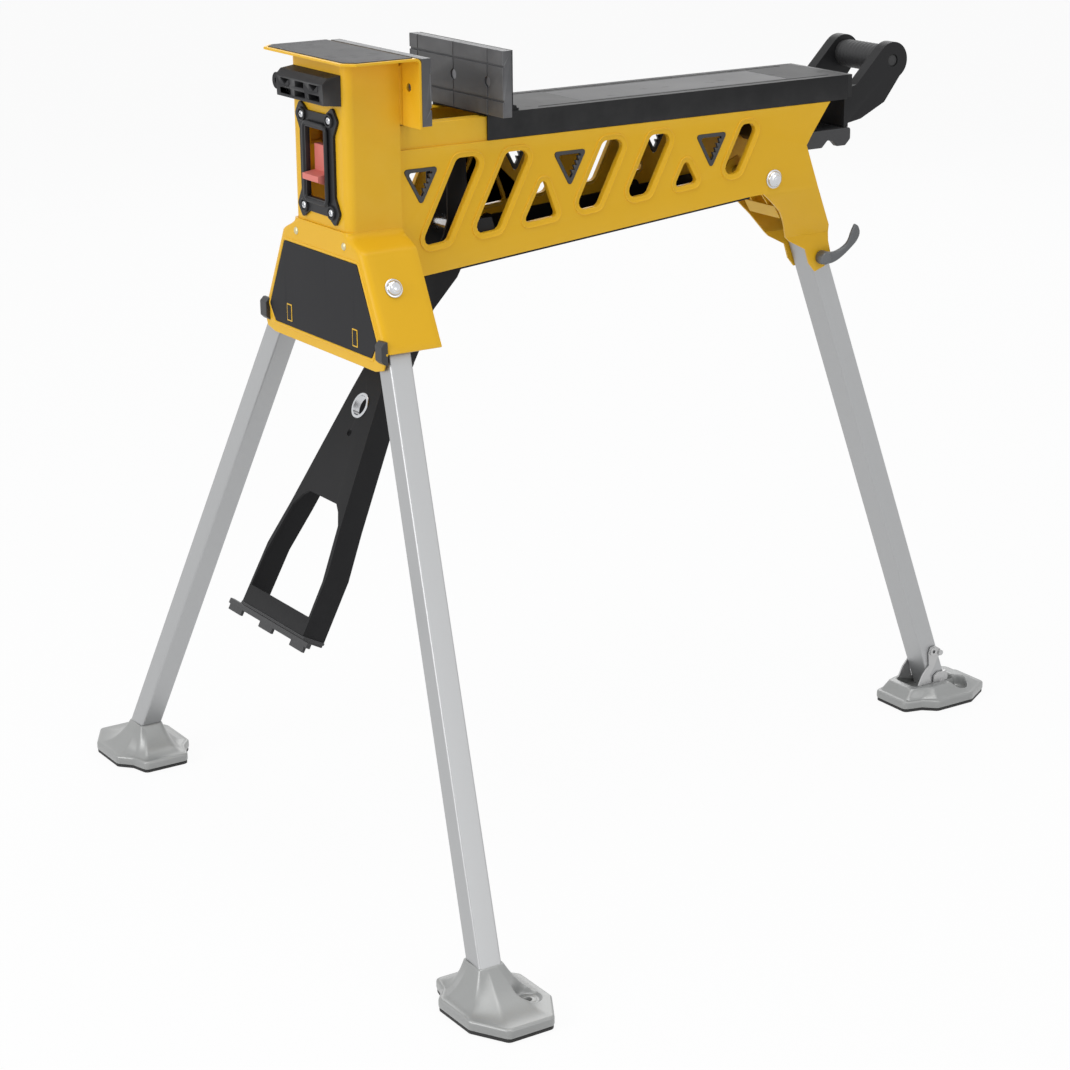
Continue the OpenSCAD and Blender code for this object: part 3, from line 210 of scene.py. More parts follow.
def scuff_marks():
    """Handling marks: thin stretched noise, cut to its highest streaks, and thinned by a slow cloud."""
    group, given, result = effect_group("scuff_marks", ["Amount"], ["Mask"])
    stretch = group.nodes.new("ShaderNodeVectorMath")
    stretch.operation = "MULTIPLY"
    stretch.inputs[1].default_value = (1, 1, 0.12)
    group.links.new(given["Vector"], stretch.inputs[0])
    streaks, cloud = noise_node(group, stretch.outputs[0], 60.0, 6), noise_node(group, given["Vector"], 14.0, 2)
    group.links.new(mask_above(group, streaks, 0.62, 9.0, cloud, given["Amount"]), result["Mask"])
    return group


def edge_highlight():
    """Painted highlight along outer edges: how far the surface's pointiness rises above flat, broken up by noise."""
    group, given, result = effect_group("edge_highlight", ["Amount"], ["Mask"])
    pointed = group.nodes.new("ShaderNodeNewGeometry").outputs["Pointiness"]
    patches = noise_node(group, given["Vector"], 45.0, 5)
    group.links.new(mask_above(group, pointed, 0.52, 12.0, patches, given["Amount"]), result["Mask"])
    return group


effects = {"grain": surface_grain(), "scuff": scuff_marks(), "edges": edge_highlight()}


def finish_material(name, colour, roughness, metallic=0.0, tone=0.06, bump=0.00003, grain=900.0, cloud=9.0,
                    scuff=0.3, edge_colour=None, edge=0.0, coat=0.0, specular=0.5, turn=(0, 0, 0), stretch=None):
    """A finish from its plain colour: tone varies the colour by a slow cloud, bump is the height of the grain
    in metres, cloud and scuffs change the roughness, and outer edges fade towards edge_colour, a painted
    edge highlight."""
    cloud_rough, scuff_rough, coat_rough, relief_share = 0.12, 0.2, 0.25, 0.6
    material = bpy.data.materials.new(name)
    material.use_nodes = True
    tree = material.node_tree
    shader = tree.nodes["Principled BSDF"]
    shader.inputs["Metallic"].default_value = metallic
    shader.inputs["Coat Weight"].default_value = coat
    shader.inputs["Coat Roughness"].default_value = coat_rough
    shader.inputs["Specular IOR Level"].default_value = specular
    place = tree.nodes.new("ShaderNodeTexCoord").outputs["Object"]
    if stretch:
        mapping = tree.nodes.new("ShaderNodeMapping")
        mapping.vector_type = "TEXTURE"
        mapping.inputs["Rotation"].default_value = turn
        mapping.inputs["Scale"].default_value = stretch
        tree.links.new(place, mapping.inputs["Vector"])
        place = mapping.outputs[0]

    def effect(kind, **values):
        node = tree.nodes.new("ShaderNodeGroup")
        node.node_tree = effects[kind]
        tree.links.new(place, node.inputs["Vector"])
        for label, value in values.items():
            node.inputs[label].default_value = value
        return node

    def colour_mix(factor, end):
        mix = tree.nodes.new("ShaderNodeMix")
        mix.data_type = "RGBA"
        mix.inputs["B"].default_value = (*end, 1)
        tree.links.new(factor, mix.inputs["Factor"])
        return mix

    surface = effect("grain", Grain=grain, Cloud=cloud)
    marks = effect("scuff", Amount=scuff)
    dark, light = [[min(1, c * k) for c in colour] for k in (1 - tone, 1 + tone)]
    shade = colour_mix(surface.outputs["Tone"], light)
    shade.inputs["A"].default_value = (*dark, 1)
    shown = shade.outputs["Result"]
    # Outer edges turn lighter towards edge_colour: a painted edge highlight.
    if edge:
        edge_lit = colour_mix(effect("edges", Amount=edge).outputs["Mask"], edge_colour)
        tree.links.new(shown, edge_lit.inputs["A"])
        shown = edge_lit.outputs["Result"]
    tree.links.new(shown, shader.inputs["Base Color"])
    rough = math_node(tree, "ADD", math_node(tree, "MULTIPLY", surface.outputs["Tone"], cloud_rough),
                      roughness - cloud_rough / 2)
    tree.links.new(math_node(tree, "ADD", rough, math_node(tree, "MULTIPLY", marks.outputs["Mask"], scuff_rough)),
                   shader.inputs["Roughness"])
    relief = tree.nodes.new("ShaderNodeBump")
    relief.inputs["Strength"].default_value = relief_share
    relief.inputs["Distance"].default_value = bump
    tree.links.new(surface.outputs["Height"], relief.inputs["Height"])
    tree.links.new(relief.outputs[0], shader.inputs["Normal"])
    return material


body_of_node = {node: body for body, nodes in frame["record"]["behaviour"]["bodies"].items() for node in nodes}


def place_piece(name, mesh, body, material, replaced=(), smooth=35):
    """Links a finished mesh as a piece: smooth where its faces meet at less than the given angle, riding on
    a body, and standing for the CAD nodes that it replaces."""
    mesh.materials.clear()
    mesh.materials.append(material)
    mesh.shade_smooth()
    mesh.set_sharp_from_angle(angle=math.radians(smooth))
    piece = bpy.data.objects.new(name, mesh)
    scene.collection.objects.link(piece)
    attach(piece, body)
    if replaced:
        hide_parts(*replaced)
    return piece


def round_edges(piece, width, steps=2, angle=25):
    """A bevel of the given width along every edge sharper than the angle; gives its modifier."""
    bevel = piece.modifiers.new("rounded_edges", "BEVEL")
    bevel.width = width
    bevel.segments = steps
    bevel.limit_method = "ANGLE"
    bevel.angle_limit = math.radians(angle)
    return bevel


def soften(node, material, width, steps=2, angle=30):
    """The CAD solid with its edges rounded: the loose triangles are merged, flat faces are joined up,
    and every edge sharper than the angle gets a bevel of the given width."""
    shape = bmesh.new()
    shape.from_mesh(frame["nodes"][node].data)
    bmesh.ops.remove_doubles(shape, verts=shape.verts, dist=2e-6)
    bmesh.ops.dissolve_limit(shape, angle_limit=math.radians(0.5), verts=shape.verts, edges=shape.edges)
    mesh = bpy.data.meshes.new(node + "_shape")
    shape.to_mesh(mesh)
    shape.free()
    piece = place_piece(node + "_shape", mesh, body_of_node[node], material, [node])
    round_edges(piece, width, steps, angle).miter_outer = "MITER_ARC"
    piece.modifiers.new("even_light", "WEIGHTED_NORMAL").keep_sharp = True


def grid_mesh(name, points, wrap_u=False, wrap_v=False, cap_start=False, cap_end=False):
    """A mesh from a grid of points (rows, columns, xyz): one quad between each four neighbours, closed round
    where asked, and one face over the first or last row as a cap."""
    index = np.arange(points.shape[0] * points.shape[1]).reshape(points.shape[:2])
    caps = [index[0][::-1].tolist()] * cap_start + [index[-1].tolist()] * cap_end
    if wrap_u:
        index = np.vstack([index, index[:1]])
    if wrap_v:
        index = np.hstack([index, index[:, :1]])
    quads = np.stack([index[:-1, :-1], index[:-1, 1:], index[1:, 1:], index[1:, :-1]], -1)
    mesh = bpy.data.meshes.new(name)
    mesh.from_pydata(points.reshape(-1, 3).tolist(), [], quads.reshape(-1, 4).tolist() + caps)
    shape = bmesh.new()
    shape.from_mesh(mesh)
    bmesh.ops.remove_doubles(shape, verts=shape.verts, dist=1e-6)
    bmesh.ops.recalc_face_normals(shape, faces=shape.faces)
    shape.to_mesh(mesh)
    shape.free()
    return mesh


def rounded_outline(corners, radius, steps=5):
    """A closed outline whose corners are arcs: each arc touches both sides at radius / tan(half the corner's
    angle) from the corner, and its centre lies on the corner's bisector."""
    corners = np.asarray(corners, float)
    before, after = np.roll(corners, 1, 0) - corners, np.roll(corners, -1, 0) - corners
    before /= np.linalg.norm(before, axis=1)[:, None]
    after /= np.linalg.norm(after, axis=1)[:, None]
    half = np.arccos(np.clip((before * after).sum(1), -1, 1)) / 2
    middle = before + after
    middle = corners + middle / np.linalg.norm(middle, axis=1)[:, None] * (radius / np.sin(half))[:, None]
    start = corners + before * (radius / np.tan(half))[:, None] - middle
    end = corners + after * (radius / np.tan(half))[:, None] - middle
    first = np.arctan2(start[:, 1], start[:, 0])
    sweep = (np.arctan2(end[:, 1], end[:, 0]) - first + math.pi) % (2 * math.pi) - math.pi
    angles = first[:, None] + sweep[:, None] * np.linspace(0, 1, steps + 1)
    return (middle[:, None] + radius * np.stack([np.cos(angles), np.sin(angles)], -1)).reshape(-1, 2)


def outward(outline):
    """Unit normals of a closed outline, pointing away from its inside: the tangent through each point's two
    neighbours, turned by a quarter turn, with the sign of the outline's area."""
    tangent = np.roll(outline, -1, 0) - np.roll(outline, 1, 0)
    area = (outline[:, 0] * np.roll(outline[:, 1], -1) - np.roll(outline[:, 0], -1) * outline[:, 1]).sum()
    normal = np.stack([tangent[:, 1], -tangent[:, 0]], 1) * np.sign(area)
    return normal / np.linalg.norm(normal, axis=1)[:, None]


# Each finish's edge_colour is a lighter tone of it, painted along outer edges as a highlight.
yellow_coat = finish_material("yellow_coat", (0.81, 0.455, 0.012), 0.4, tone=0.04, bump=0.00002, grain=700,
                              cloud=5, scuff=0.25, edge_colour=(0.95, 0.68, 0.14), edge=0.4, coat=0.08, specular=0.25)
for side in ("near", "far"):
    soften("beam_plate_" + side, yellow_coat, 0.8 * mm)

plate_out, sheet = 55 * mm, 2.5 * mm
step_z = 785.5 * mm
slot_top, slot_lean, peak_top = step_z - 14 * mm, 0.52, step_z - 44 * mm
beam_start, low_start, low_rise, low_band = 12 * mm, 646.4 * mm, 0.0862, 30 * mm
# Along the bench, in mm: start and width of each slot, middle of each window, and tip and both feet of each peak.
slots = [(82, 34), (145.5, 33.5), (274, 31.5), (339.5, 31.5), (469.5, 24)]
windows = [84.5, 268.5, 455.5]
peaks = [(235.5, 209, 252.5), (421.8, 404.8, 438)]


def opening_low(x):
    """Height where an opening ends: an even band above the beam's lower edge, a straight line rising rearwards."""
    return low_start + (x - beam_start) * low_rise + low_band


def slot_corners(start, width):
    """Corners of a slot: both ends of its lower line, and each of them carried up to the slot's top by its lean."""
    left, right = start * mm, start * mm + width * mm
    return [(left, opening_low(left)), (right, opening_low(right)),
            (right + (slot_top - opening_low(right)) * slot_lean, slot_top),
            (left + (slot_top - opening_low(left)) * slot_lean, slot_top)]


def peak_corners(*spots):
    """Corners of a peak: its tip, and its two feet on the openings' lower line."""
    tip, left, right = (spot * mm for spot in spots)
    return [(tip, peak_top), (left, opening_low(left)), (right, opening_low(right))]


slot_round, peak_round = 8 * mm, 4 * mm
openings = [rounded_outline(slot_corners(*slot), slot_round) for slot in slots]
openings += [rounded_outline(peak_corners(*peak), peak_round) for peak in peaks]


def lip_grid(outline, side):
    """A pressed lip: its section rises to a low bead 5.5 mm outside the slot, falls back to a little proud of
    the plate, rolls over a quarter circle into the slot and runs 5 mm inwards; it is carried round the outline."""
    roll_angle = np.linspace(0, math.pi / 2, 7)
    radius, inset, proud = 2.4 * mm, 0.25 * mm, 0.35 * mm
    across = np.concatenate([np.array([6.4, 6.0, 5.4, 4.3]) * mm, radius * (1 - np.sin(roll_angle)) - inset,
                             np.array([-0.25, 0.9, 6.4]) * mm])
    depth = np.concatenate([np.array([0.2, -1.1, -1.2, -0.2]) * mm, radius * (1 - np.cos(roll_angle)) - proud,
                            np.array([6.2, 6.2, 1.2]) * mm])
    flat = outline[:, None, :] + outward(outline)[:, None, :] * across[None, :, None]
    y = side * (plate_out - depth)
    return np.stack([flat[..., 0] - mid_x, np.broadcast_to(y, flat.shape[:2]), flat[..., 1]], -1)


def joined_grids(name, grids, **closed):
    """Several grids of one shape as one mesh."""
    whole = bmesh.new()
    for grid in grids:
        part = grid_mesh(name, grid, **closed)
        whole.from_mesh(part)
        bpy.data.meshes.remove(part)
    mesh = bpy.data.meshes.new(name)
    whole.to_mesh(mesh)
    whole.free()
    return mesh


for name, side in (("near", -1), ("far", 1)):
    lips = joined_grids("slot_lips_" + name, [lip_grid(o, side) for o in openings], wrap_u=True, wrap_v=True)
    place_piece("slot_lips_" + name, lips, "root", yellow_coat, smooth=50)

# ---- Window rims
# Black moulded rims pressed into the three triangular windows of each plate, with a row of small teeth
# on the rear slope.
black_plastic = finish_material("black_plastic", (0.028, 0.028, 0.03), 0.42, tone=0.12, bump=0.00005, grain=1400,
                                scuff=0.4, edge_colour=(0.09, 0.09, 0.09), edge=0.35)
soften("window_rims", black_plastic, 0.5 * mm)


window_z, rim_share = step_z - 33.5 * mm, 0.72
tooth_half, tooth_tall, tooth_lean, tooth_tip = 2.4 * mm, 3.4 * mm, 1.2 * mm, 1.0 * mm


def tooth_grid(middle, side, share):
    """One tooth: a small four-sided wedge that stands on the rim's rear slope and points into the window."""
    low = np.array([middle * mm, window_z - 26 * mm * rim_share])
    high = np.array([middle * mm + 21.7 * mm * rim_share, window_z + 13.5 * mm * rim_share])
    foot = low + (high - low) * share
    along = (high - low) / np.linalg.norm(high - low)
    tip = foot + np.array([-along[1], along[0]]) * tooth_tall + along * tooth_lean
    wedge = np.array([foot - along * tooth_half, foot + along * tooth_half, tip, tip - along * tooth_tip])
    return np.stack([np.column_stack([wedge[:, 0] - mid_x, np.full(4, side * (plate_out - depth)), wedge[:, 1]])
                     for depth in (-0.4 * mm, 2.6 * mm)])


teeth = [tooth_grid(x, side, share) for x in windows for side in (-1, 1) for share in (0.3, 0.47, 0.64, 0.81)]
place_piece("window_teeth", joined_grids("window_teeth", teeth, wrap_v=True, cap_start=True, cap_end=True),
            "root", black_plastic)

# ---- Top rail, head column and gussets
# Bent yellow sheet: the rail that the slide runs on, the column that carries the top plate, the tabs that
# stiffen the flange behind the fixed jaw, and the brackets that hold the legs.
for node, width in (("top_rail", 1.0), ("head_shell", 0.7), ("jaw_gussets", 0.5), ("top_jaw_plate", 0.6),
                    ("leg_inner_brackets", 0.5), ("rear_leg_carrier", 0.5)):
    soften(node, yellow_coat, width * mm)

# ---- Skirt
# One pressed sheet with smooth shoulders that widens from the column to the two leg housings. Its front has
# a raised bead round the black panel, and an apron with a flange closes it below.
hip_y, hip_z, foot_y = 84.6 * mm, 648 * mm, 405 * mm
splay = math.atan2(foot_y - hip_y, hip_z)
side_in = 17 * mm


def housing_half(z):
    """Outer half width of the leg housing at a height: the leg's axis moved out by the washer and the sheet."""
    return hip_y + (hip_z - z) * math.tan(splay) + (side_in + sheet) / math.cos(splay)


skirt_top, skirt_side_low, skirt_low = 708 * mm, 597 * mm, 575 * mm
shoulder_low, shoulder_tall, column_half = 690 * mm, 17 * mm, 58 * mm


def ease(share):
    """A smooth step: the share held between 0 and 1, and level at both ends."""
    share = np.clip(share, 0, 1)
    return share * share * (3 - 2 * share)


def skirt_half(z):
    """Half width of the skirt: the housing's slope below the shoulder, and above it a smooth S up to the column."""
    share = ease((z - shoulder_low) / shoulder_tall)
    return housing_half(z) * (1 - share) + column_half * share


def skirt_row(z, half):
    """One level of the skirt from the far rear edge round both front corners to the near rear edge: straight
    sides, a quarter circle at each corner and a straight front."""
    radius = 8 * mm
    turn = np.linspace(0, math.pi / 2, 7)
    front, back = -5 * mm, 60 * mm
    corner = np.column_stack([front + radius - radius * np.sin(turn), half - radius + radius * np.cos(turn)])
    side = np.column_stack([np.linspace(back, front + radius, 8)[:-1], np.full(7, half)])
    across = np.linspace(half - radius, -half + radius, 18)[1:-1]
    far = np.vstack([side, corner])
    near = far[::-1] * [1, -1]
    row = np.vstack([far, np.column_stack([np.full(16, front), across]), near])
    return np.column_stack([row[:, 0] - mid_x, row[:, 1], np.full(len(row), z)])


levels = np.concatenate([np.linspace(skirt_side_low, shoulder_low - 2 * mm, 14),
                         np.linspace(shoulder_low, skirt_top, 14)])
skirt_mesh = grid_mesh("skirt_sheet", np.stack([skirt_row(z, skirt_half(z)) for z in levels]))
skirt = place_piece("skirt_sheet", skirt_mesh, "root", yellow_coat, ["head_skirt"], smooth=40)
wall = skirt.modifiers.new("wall", "SOLIDIFY")
wall.thickness = sheet
wall.offset = -1
round_edges(skirt, 0.5 * mm, angle=50)


def closed_mesh(name, points):
    """A mesh from a grid whose rows are closed rings, with a face over each end."""
    return grid_mesh(name, points, wrap_v=True, cap_start=True, cap_end=True)


def flat_block(name, outline, low, high, axis, body, material, replaced=(), edge=0.3 * mm):
    """A flat outline carried from low to high along an axis (0 for x, 1 for y), its edges rounded."""
    rows = [np.insert(np.asarray(outline, float), axis, depth, 1) - [mid_x, 0, 0] for depth in (low, high)]
    piece = place_piece(name, closed_mesh(name, np.stack(rows)), body, material, replaced)
    round_edges(piece, edge)
    piece.modifiers.new("even_light", "WEIGHTED_NORMAL")


def oblong(left, right, low, high):
    """Corners of a rectangle between two places on each axis."""
    return [(left, low), (right, low), (right, high), (left, high)]


apron_half = housing_half(skirt_side_low)
apron = [(-apron_half, skirt_side_low + 1 * mm), (apron_half, skirt_side_low + 1 * mm),
         (apron_half - 8 * mm, skirt_low + 4 * mm), (apron_half - 24 * mm, skirt_low),
         (-apron_half + 24 * mm, skirt_low), (-apron_half + 8 * mm, skirt_low + 4 * mm)]
flat_block("skirt_apron", apron, -5 * mm, -2.5 * mm, 0, "root", yellow_coat, edge=0.9 * mm)
flange_half = apron_half - 54 * mm
flat_block("skirt_flange", oblong(-2.6 * mm, 14 * mm, skirt_low, skirt_low + sheet), -flange_half, flange_half, 1,
           "root", yellow_coat, edge=0.6 * mm)

# ---- Front panel
# A black lacquered panel on the skirt, left bare, inside a pressed yellow bead. Near its foot are two small
# black notches in yellow frames.
panel_black = finish_material("panel_black", (0.016, 0.016, 0.018), 0.42, tone=0.1, bump=0.00001, grain=500,
                              scuff=0.5, specular=0.12)
panel_high, panel_knee, panel_low, panel_rim = 681 * mm, skirt_side_low + 8 * mm, 587 * mm, 12 * mm


def panel_corners(inset):
    """Corners of the panel, moved inwards by the inset: the far three, and the near three as their mirror."""
    top, knee = (housing_half(z) - panel_rim - inset for z in (panel_high, panel_knee))
    far = [(knee - panel_rim, panel_low + inset), (knee, panel_knee), (top, panel_high - inset)]
    return [(-y, z) for y, z in far[::-1]] + far


def bead_ring(name, outline, x, rise, half, material):
    """A bead carried round an outline on the front: at the angle t of its section it lies half * cos t outside
    the outline and rise * sin t in front of x."""
    rings = [np.column_stack([np.full(len(outline), x - rise * math.sin(t) - mid_x),
                              outline + outward(outline) * half * math.cos(t)])
             for t in np.linspace(0, 2 * math.pi, 12, endpoint=False)]
    place_piece(name, grid_mesh(name, np.stack(rings, 1), wrap_u=True, wrap_v=True), "root", material)


flat_block("panel_face", rounded_outline(panel_corners(1.2 * mm), 3 * mm), -6.1 * mm, -4.6 * mm, 0, "root",
           panel_black, ["front_panel"])
bead_ring("panel_bead", rounded_outline(panel_corners(-0.6 * mm), 4 * mm), -4.9 * mm, 1.3 * mm, 1.7 * mm,
          yellow_coat)
notch_half, notch_low, notch_high, notch_back = 4 * mm, panel_low + 8 * mm, panel_low + 24 * mm, -5.9 * mm
for index, y in enumerate((-70 * mm, 70 * mm)):
    for part, grow, front, slot, material in (("frame", 1.3 * mm, -6.4 * mm, "yellow_steel", yellow_coat),
                                              ("slot", 0, -6.7 * mm, "black_plastic", panel_black)):
        notch = oblong(y - notch_half - grow, y + notch_half + grow, notch_low - grow, notch_high + grow)
        flat_block("panel_notch_%s_%d" % (part, index), notch, front, notch_back, 0, "root", material,
                   edge=0.15 * mm)

# ---- Fasteners
# Turned steel parts, zinc plated: domed bolt heads on thin washers, screws with a round socket, and rivets.
# The pins, rods, plates and springs inside keep their plain solids and get the same finish.
zinc_steel = finish_material("zinc_steel", (0.62, 0.63, 0.65), 0.26, metallic=1.0, tone=0.08, bump=0.000015,
                             grain=1800, cloud=60, scuff=0.5)


def turned_grid(profile, centre, axis, facets=28):
    """A turned shape: the profile's (radius, distance along the axis) pairs are carried round the axis."""
    axis = np.asarray(axis, float) / np.linalg.norm(axis)
    side = np.cross(axis, [0, 0, 1] if abs(axis[2]) < 0.9 else [1, 0, 0])
    side /= np.linalg.norm(side)
    other = np.cross(axis, side)
    angle = np.linspace(0, 2 * math.pi, facets, endpoint=False)
    ring = np.cos(angle)[:, None] * side + np.sin(angle)[:, None] * other
    radius, along = np.array(profile, float).T
    return np.asarray(centre, float) + along[:, None, None] * axis + radius[:, None, None] * ring[None]


def turned(name, profile, places, body, material, replaced=(), facets=28, ring=False):
    """One piece from several turned shapes; places holds each one's centre and axis. With ring the profile
    is closed and leaves a hole, otherwise it starts and ends on the axis."""
    grids = [turned_grid(profile, centre, axis, facets) for centre, axis in places]
    place_piece(name, joined_grids(name, grids, wrap_v=True, wrap_u=ring), body, material, replaced, smooth=38)


def keep(node, material):
    """Gives a CAD solid that is seen as it is its finish."""
    frame["nodes"][node].data.materials.clear()
    frame["nodes"][node].data.materials.append(material)


def socket_head(radius, height, socket, depth):
    """Profile of a domed head with a round socket: flat foot, rounded rim, crown, and the socket's wall."""
    crown = np.array([(0, 0), (0.96, 0), (1, 0.12), (1, 0.4), (0.93, 0.66), (0.76, 0.88), (0.56, 0.98)])
    return np.vstack([crown * [radius, height], [(socket * 1.06, height), (socket, height * 0.97),
                      (socket * 0.96, height - depth), (0, height - depth - socket * 0.3)]])


def dome_head(washer, radius, height, rim):
    """Profile of a domed bolt head on its washer: washer edge, step, short wall and a round crown."""
    crown = [(radius * math.cos(t), rim * 1.6 + (height - rim * 1.6) * math.sin(t))
             for t in np.linspace(0.1, math.pi / 2, 8)]
    return [(0, 0), (washer, 0), (washer, rim * 0.8), (washer - rim * 0.3, rim), (radius + 0.2 * mm, rim),
            (radius, rim * 1.15)] + crown[:-1] + [(0, height)]


head_face, cover_z = -2.5 * mm, step_z - 13.5 * mm
screw_places = [((head_face - 3 * mm - mid_x, y, cover_z + z), (-1, 0, 0))
                for y in (-28.5 * mm, 28.5 * mm) for z in (-47 * mm, 47 * mm)]
turned("cover_screw_heads", socket_head(4.1 * mm, 2.4 * mm, 1.6 * mm, 1.3 * mm), screw_places, "root",
       zinc_steel, ["cover_screws"])
rivet_places = [((-5 * mm - mid_x, y, 694 * mm), (-1, 0, 0)) for y in (-50.5 * mm, 50.5 * mm)]
rivet_paint = finish_material("rivet_paint", (0.62, 0.56, 0.34), 0.3, metallic=0.7, tone=0.1, grain=1500, coat=0.2)
rivet = np.array([(0, -1), (4.1, -1), (4.1, 0.3), (3.6, 1.1), (2.4, 1.7), (1.4, 1.9), (0, 1.9)]) * mm
turned("rivet_heads", rivet, rivet_places, "root", rivet_paint, ["skirt_rivets"])
for node in ("hip_bolts", "rear_pivot_bolt", "pedal_pivot_pin", "pedal_return_spring", "lever_pin", "lock_plates",
             "drive_plates", "link_pin", "lock_rod", "drive_bar", "rear_spigot", "pedal_bush", "carrier_rivets"):
    keep(node, zinc_steel)
hip_axes = [np.array([0, side * math.cos(splay), math.sin(splay)]) for side in (-1, 1)]
hip_places = [([21.8 * mm - mid_x, side * hip_y, hip_z] + axis * (side_in + sheet), axis)
              for side, axis in zip((-1, 1), hip_axes)]
turned("hip_bolt_heads", dome_head(9.9 * mm, 7.9 * mm, 6.3 * mm, 1.6 * mm), hip_places, "root",
       zinc_steel)
rear_pivot = np.array([543 * mm - mid_x, 0, 706 * mm])
turned("rear_bolt_heads", dome_head(10.6 * mm, 8.9 * mm, 6.8 * mm, 1.6 * mm),
       [(rear_pivot + [0, side * plate_out, 0], (0, side, 0)) for side in (-1, 1)], "root", zinc_steel)

# ---- Top sheet
# A thin dark film bonded to the top plate and left bare; its face has a fine raised diamond pattern for grip.
grip_film = finish_material("grip_film", (0.024, 0.024, 0.026), 0.56, tone=0.25, bump=0.00004, grain=1100, cloud=30,
                            scuff=0.8, edge_colour=(0.12, 0.12, 0.12), edge=0.3, specular=0.3)
diamonds_a_metre, diamond_rise = 250, 0.3 * mm
tree = grip_film.node_tree
place = tree.nodes.new("ShaderNodeTexCoord").outputs["Object"]
turn = tree.nodes.new("ShaderNodeMapping")
turn.inputs["Rotation"].default_value = (0, 0, math.radians(45))
turn.inputs["Scale"].default_value = (diamonds_a_metre, diamonds_a_metre, 0)
tree.links.new(place, turn.inputs["Vector"])
split = tree.nodes.new("ShaderNodeSeparateXYZ")
tree.links.new(turn.outputs[0], split.inputs[0])
waves = [math_node(tree, "SINE", math_node(tree, "MULTIPLY", split.outputs[k], 2 * math.pi)) for k in (0, 1)]
diamonds = math_node(tree, "MULTIPLY", waves[0], waves[1])
raised = tree.nodes.new("ShaderNodeBump")
raised.inputs["Strength"].default_value = 0.5
raised.inputs["Distance"].default_value = diamond_rise
tree.links.new(diamonds, raised.inputs["Height"])
tree.links.new(raised.outputs[0], next(n for n in tree.nodes if n.type == "BUMP" and n != raised).inputs["Normal"])
soften("top_sheet", grip_film, 0.3 * mm)

# ---- Jaw pads
# Moulded dark grey pads with crossing grooves; two socket screws hold each one.
pad_grey = finish_material("pad_grey", (0.066, 0.067, 0.07), 0.46, tone=0.12, bump=0.00006, grain=1300, cloud=20,
                           scuff=0.9, edge_colour=(0.17, 0.17, 0.175), edge=0.6, specular=0.35)
soften("fixed_jaw_pad", pad_grey, 0.8 * mm, 3)
soften("moving_jaw_pad", pad_grey, 0.8 * mm, 3)
fixed_face, moving_face, pad_middle, sunk = 77 * mm, 161.5 * mm, 848 * mm, 4 * mm
dark_zinc = finish_material("dark_zinc", (0.2, 0.2, 0.21), 0.35, metallic=0.9, tone=0.1, grain=1600, scuff=0.4)
pad_head = socket_head(5.2 * mm, 2.8 * mm, 2.4 * mm, 1.8 * mm)
for node, body, x, way in (("fixed_jaw_screws", "root", fixed_face - sunk, 1),
                           ("moving_jaw_screws", "slide", moving_face + sunk, -1)):
    spots = [((x - mid_x, y, pad_middle), (way, 0, 0)) for y in (3.7 * mm, -62.9 * mm)]
    turned(node[:-1] + "_heads", pad_head, spots, body, dark_zinc,
           [node] if body == "root" else ())
keep("moving_jaw_screws", dark_zinc)

# ---- Front block
# A moulded, nearly black block below the front lip of the top plate. Its face is a truss: long slots below,
# and above them pockets that slanted ribs cut into triangles, each closed behind.
block_grey = finish_material("block_grey", (0.022, 0.022, 0.024), 0.5, tone=0.12, bump=0.00006, grain=1300, scuff=0.6,
                             edge_colour=(0.12, 0.12, 0.12), edge=0.5, specular=0.1)
soften("front_block", block_grey, 1.0 * mm, 3)
rib_low, rib_high, rib_wide = 850.3 * mm, 856.7 * mm, 9.2 * mm
for index, (y, way) in enumerate([(-39.2 * mm, 1), (-20.8 * mm, -1), (20.8 * mm, 1), (39.2 * mm, -1)]):
    rib = [(y, rib_low), (y + way * rib_wide, rib_low), (y, rib_high)]
    flat_block("block_rib_%d" % index, rib[::way], head_face - 21.3 * mm, head_face - 10 * mm, 0, "root",
               block_grey)

# ---- Lock lever and its cover
# A black moulded cover with four screw ears and a deep rim round its slot, and the red lever behind it.
cover_black = finish_material("cover_black", (0.014, 0.014, 0.016), 0.4, tone=0.15, bump=0.00004, grain=1500,
                              scuff=0.5, edge_colour=(0.09, 0.09, 0.09), edge=0.4, specular=0.25)
soften("lever_cover", cover_black, 0.9 * mm, 3, angle=25)
rim_half, rim_tall = 23 * mm, 40 * mm
bead_ring("cover_rim", rounded_outline(oblong(-rim_half, rim_half, cover_z - rim_tall, cover_z + rim_tall), 6 * mm),
          head_face - 4.8 * mm, 2.2 * mm, 2.6 * mm, cover_black)
cup = np.array([(4.6, -1), (7.6, -1), (7.4, 1.6), (6.6, 2.4), (5.6, 2.4), (4.9, 1.8), (4.6, 0.4)]) * mm
turned("cover_cups", cup, screw_places, "root", cover_black, ring=True)
lever_red = finish_material("lever_red", (0.70, 0.19, 0.155), 0.5, tone=0.08, bump=0.00004, grain=1400, scuff=0.6,
                            edge_colour=(0.8, 0.25, 0.22), edge=0.4)
soften("lock_lever", lever_red, 1.0 * mm, 3)

# ---- Inside of the beam
# Satin coated black steel seen through the slots: the channel, the clutch housing and the carriage. A moulded
# black block guides the slide at the rear end.
black_coat = finish_material("black_coat", (0.010, 0.010, 0.011), 0.46, tone=0.15, bump=0.00002, grain=900, cloud=12,
                             scuff=0.5, edge_colour=(0.07, 0.07, 0.07), edge=0.35, specular=0.16)
for node in ("lower_channel", "clutch_housing", "drive_carriage"):
    soften(node, black_coat, 0.5 * mm)
soften("rear_guide_block", black_plastic, 3.0 * mm, 3)

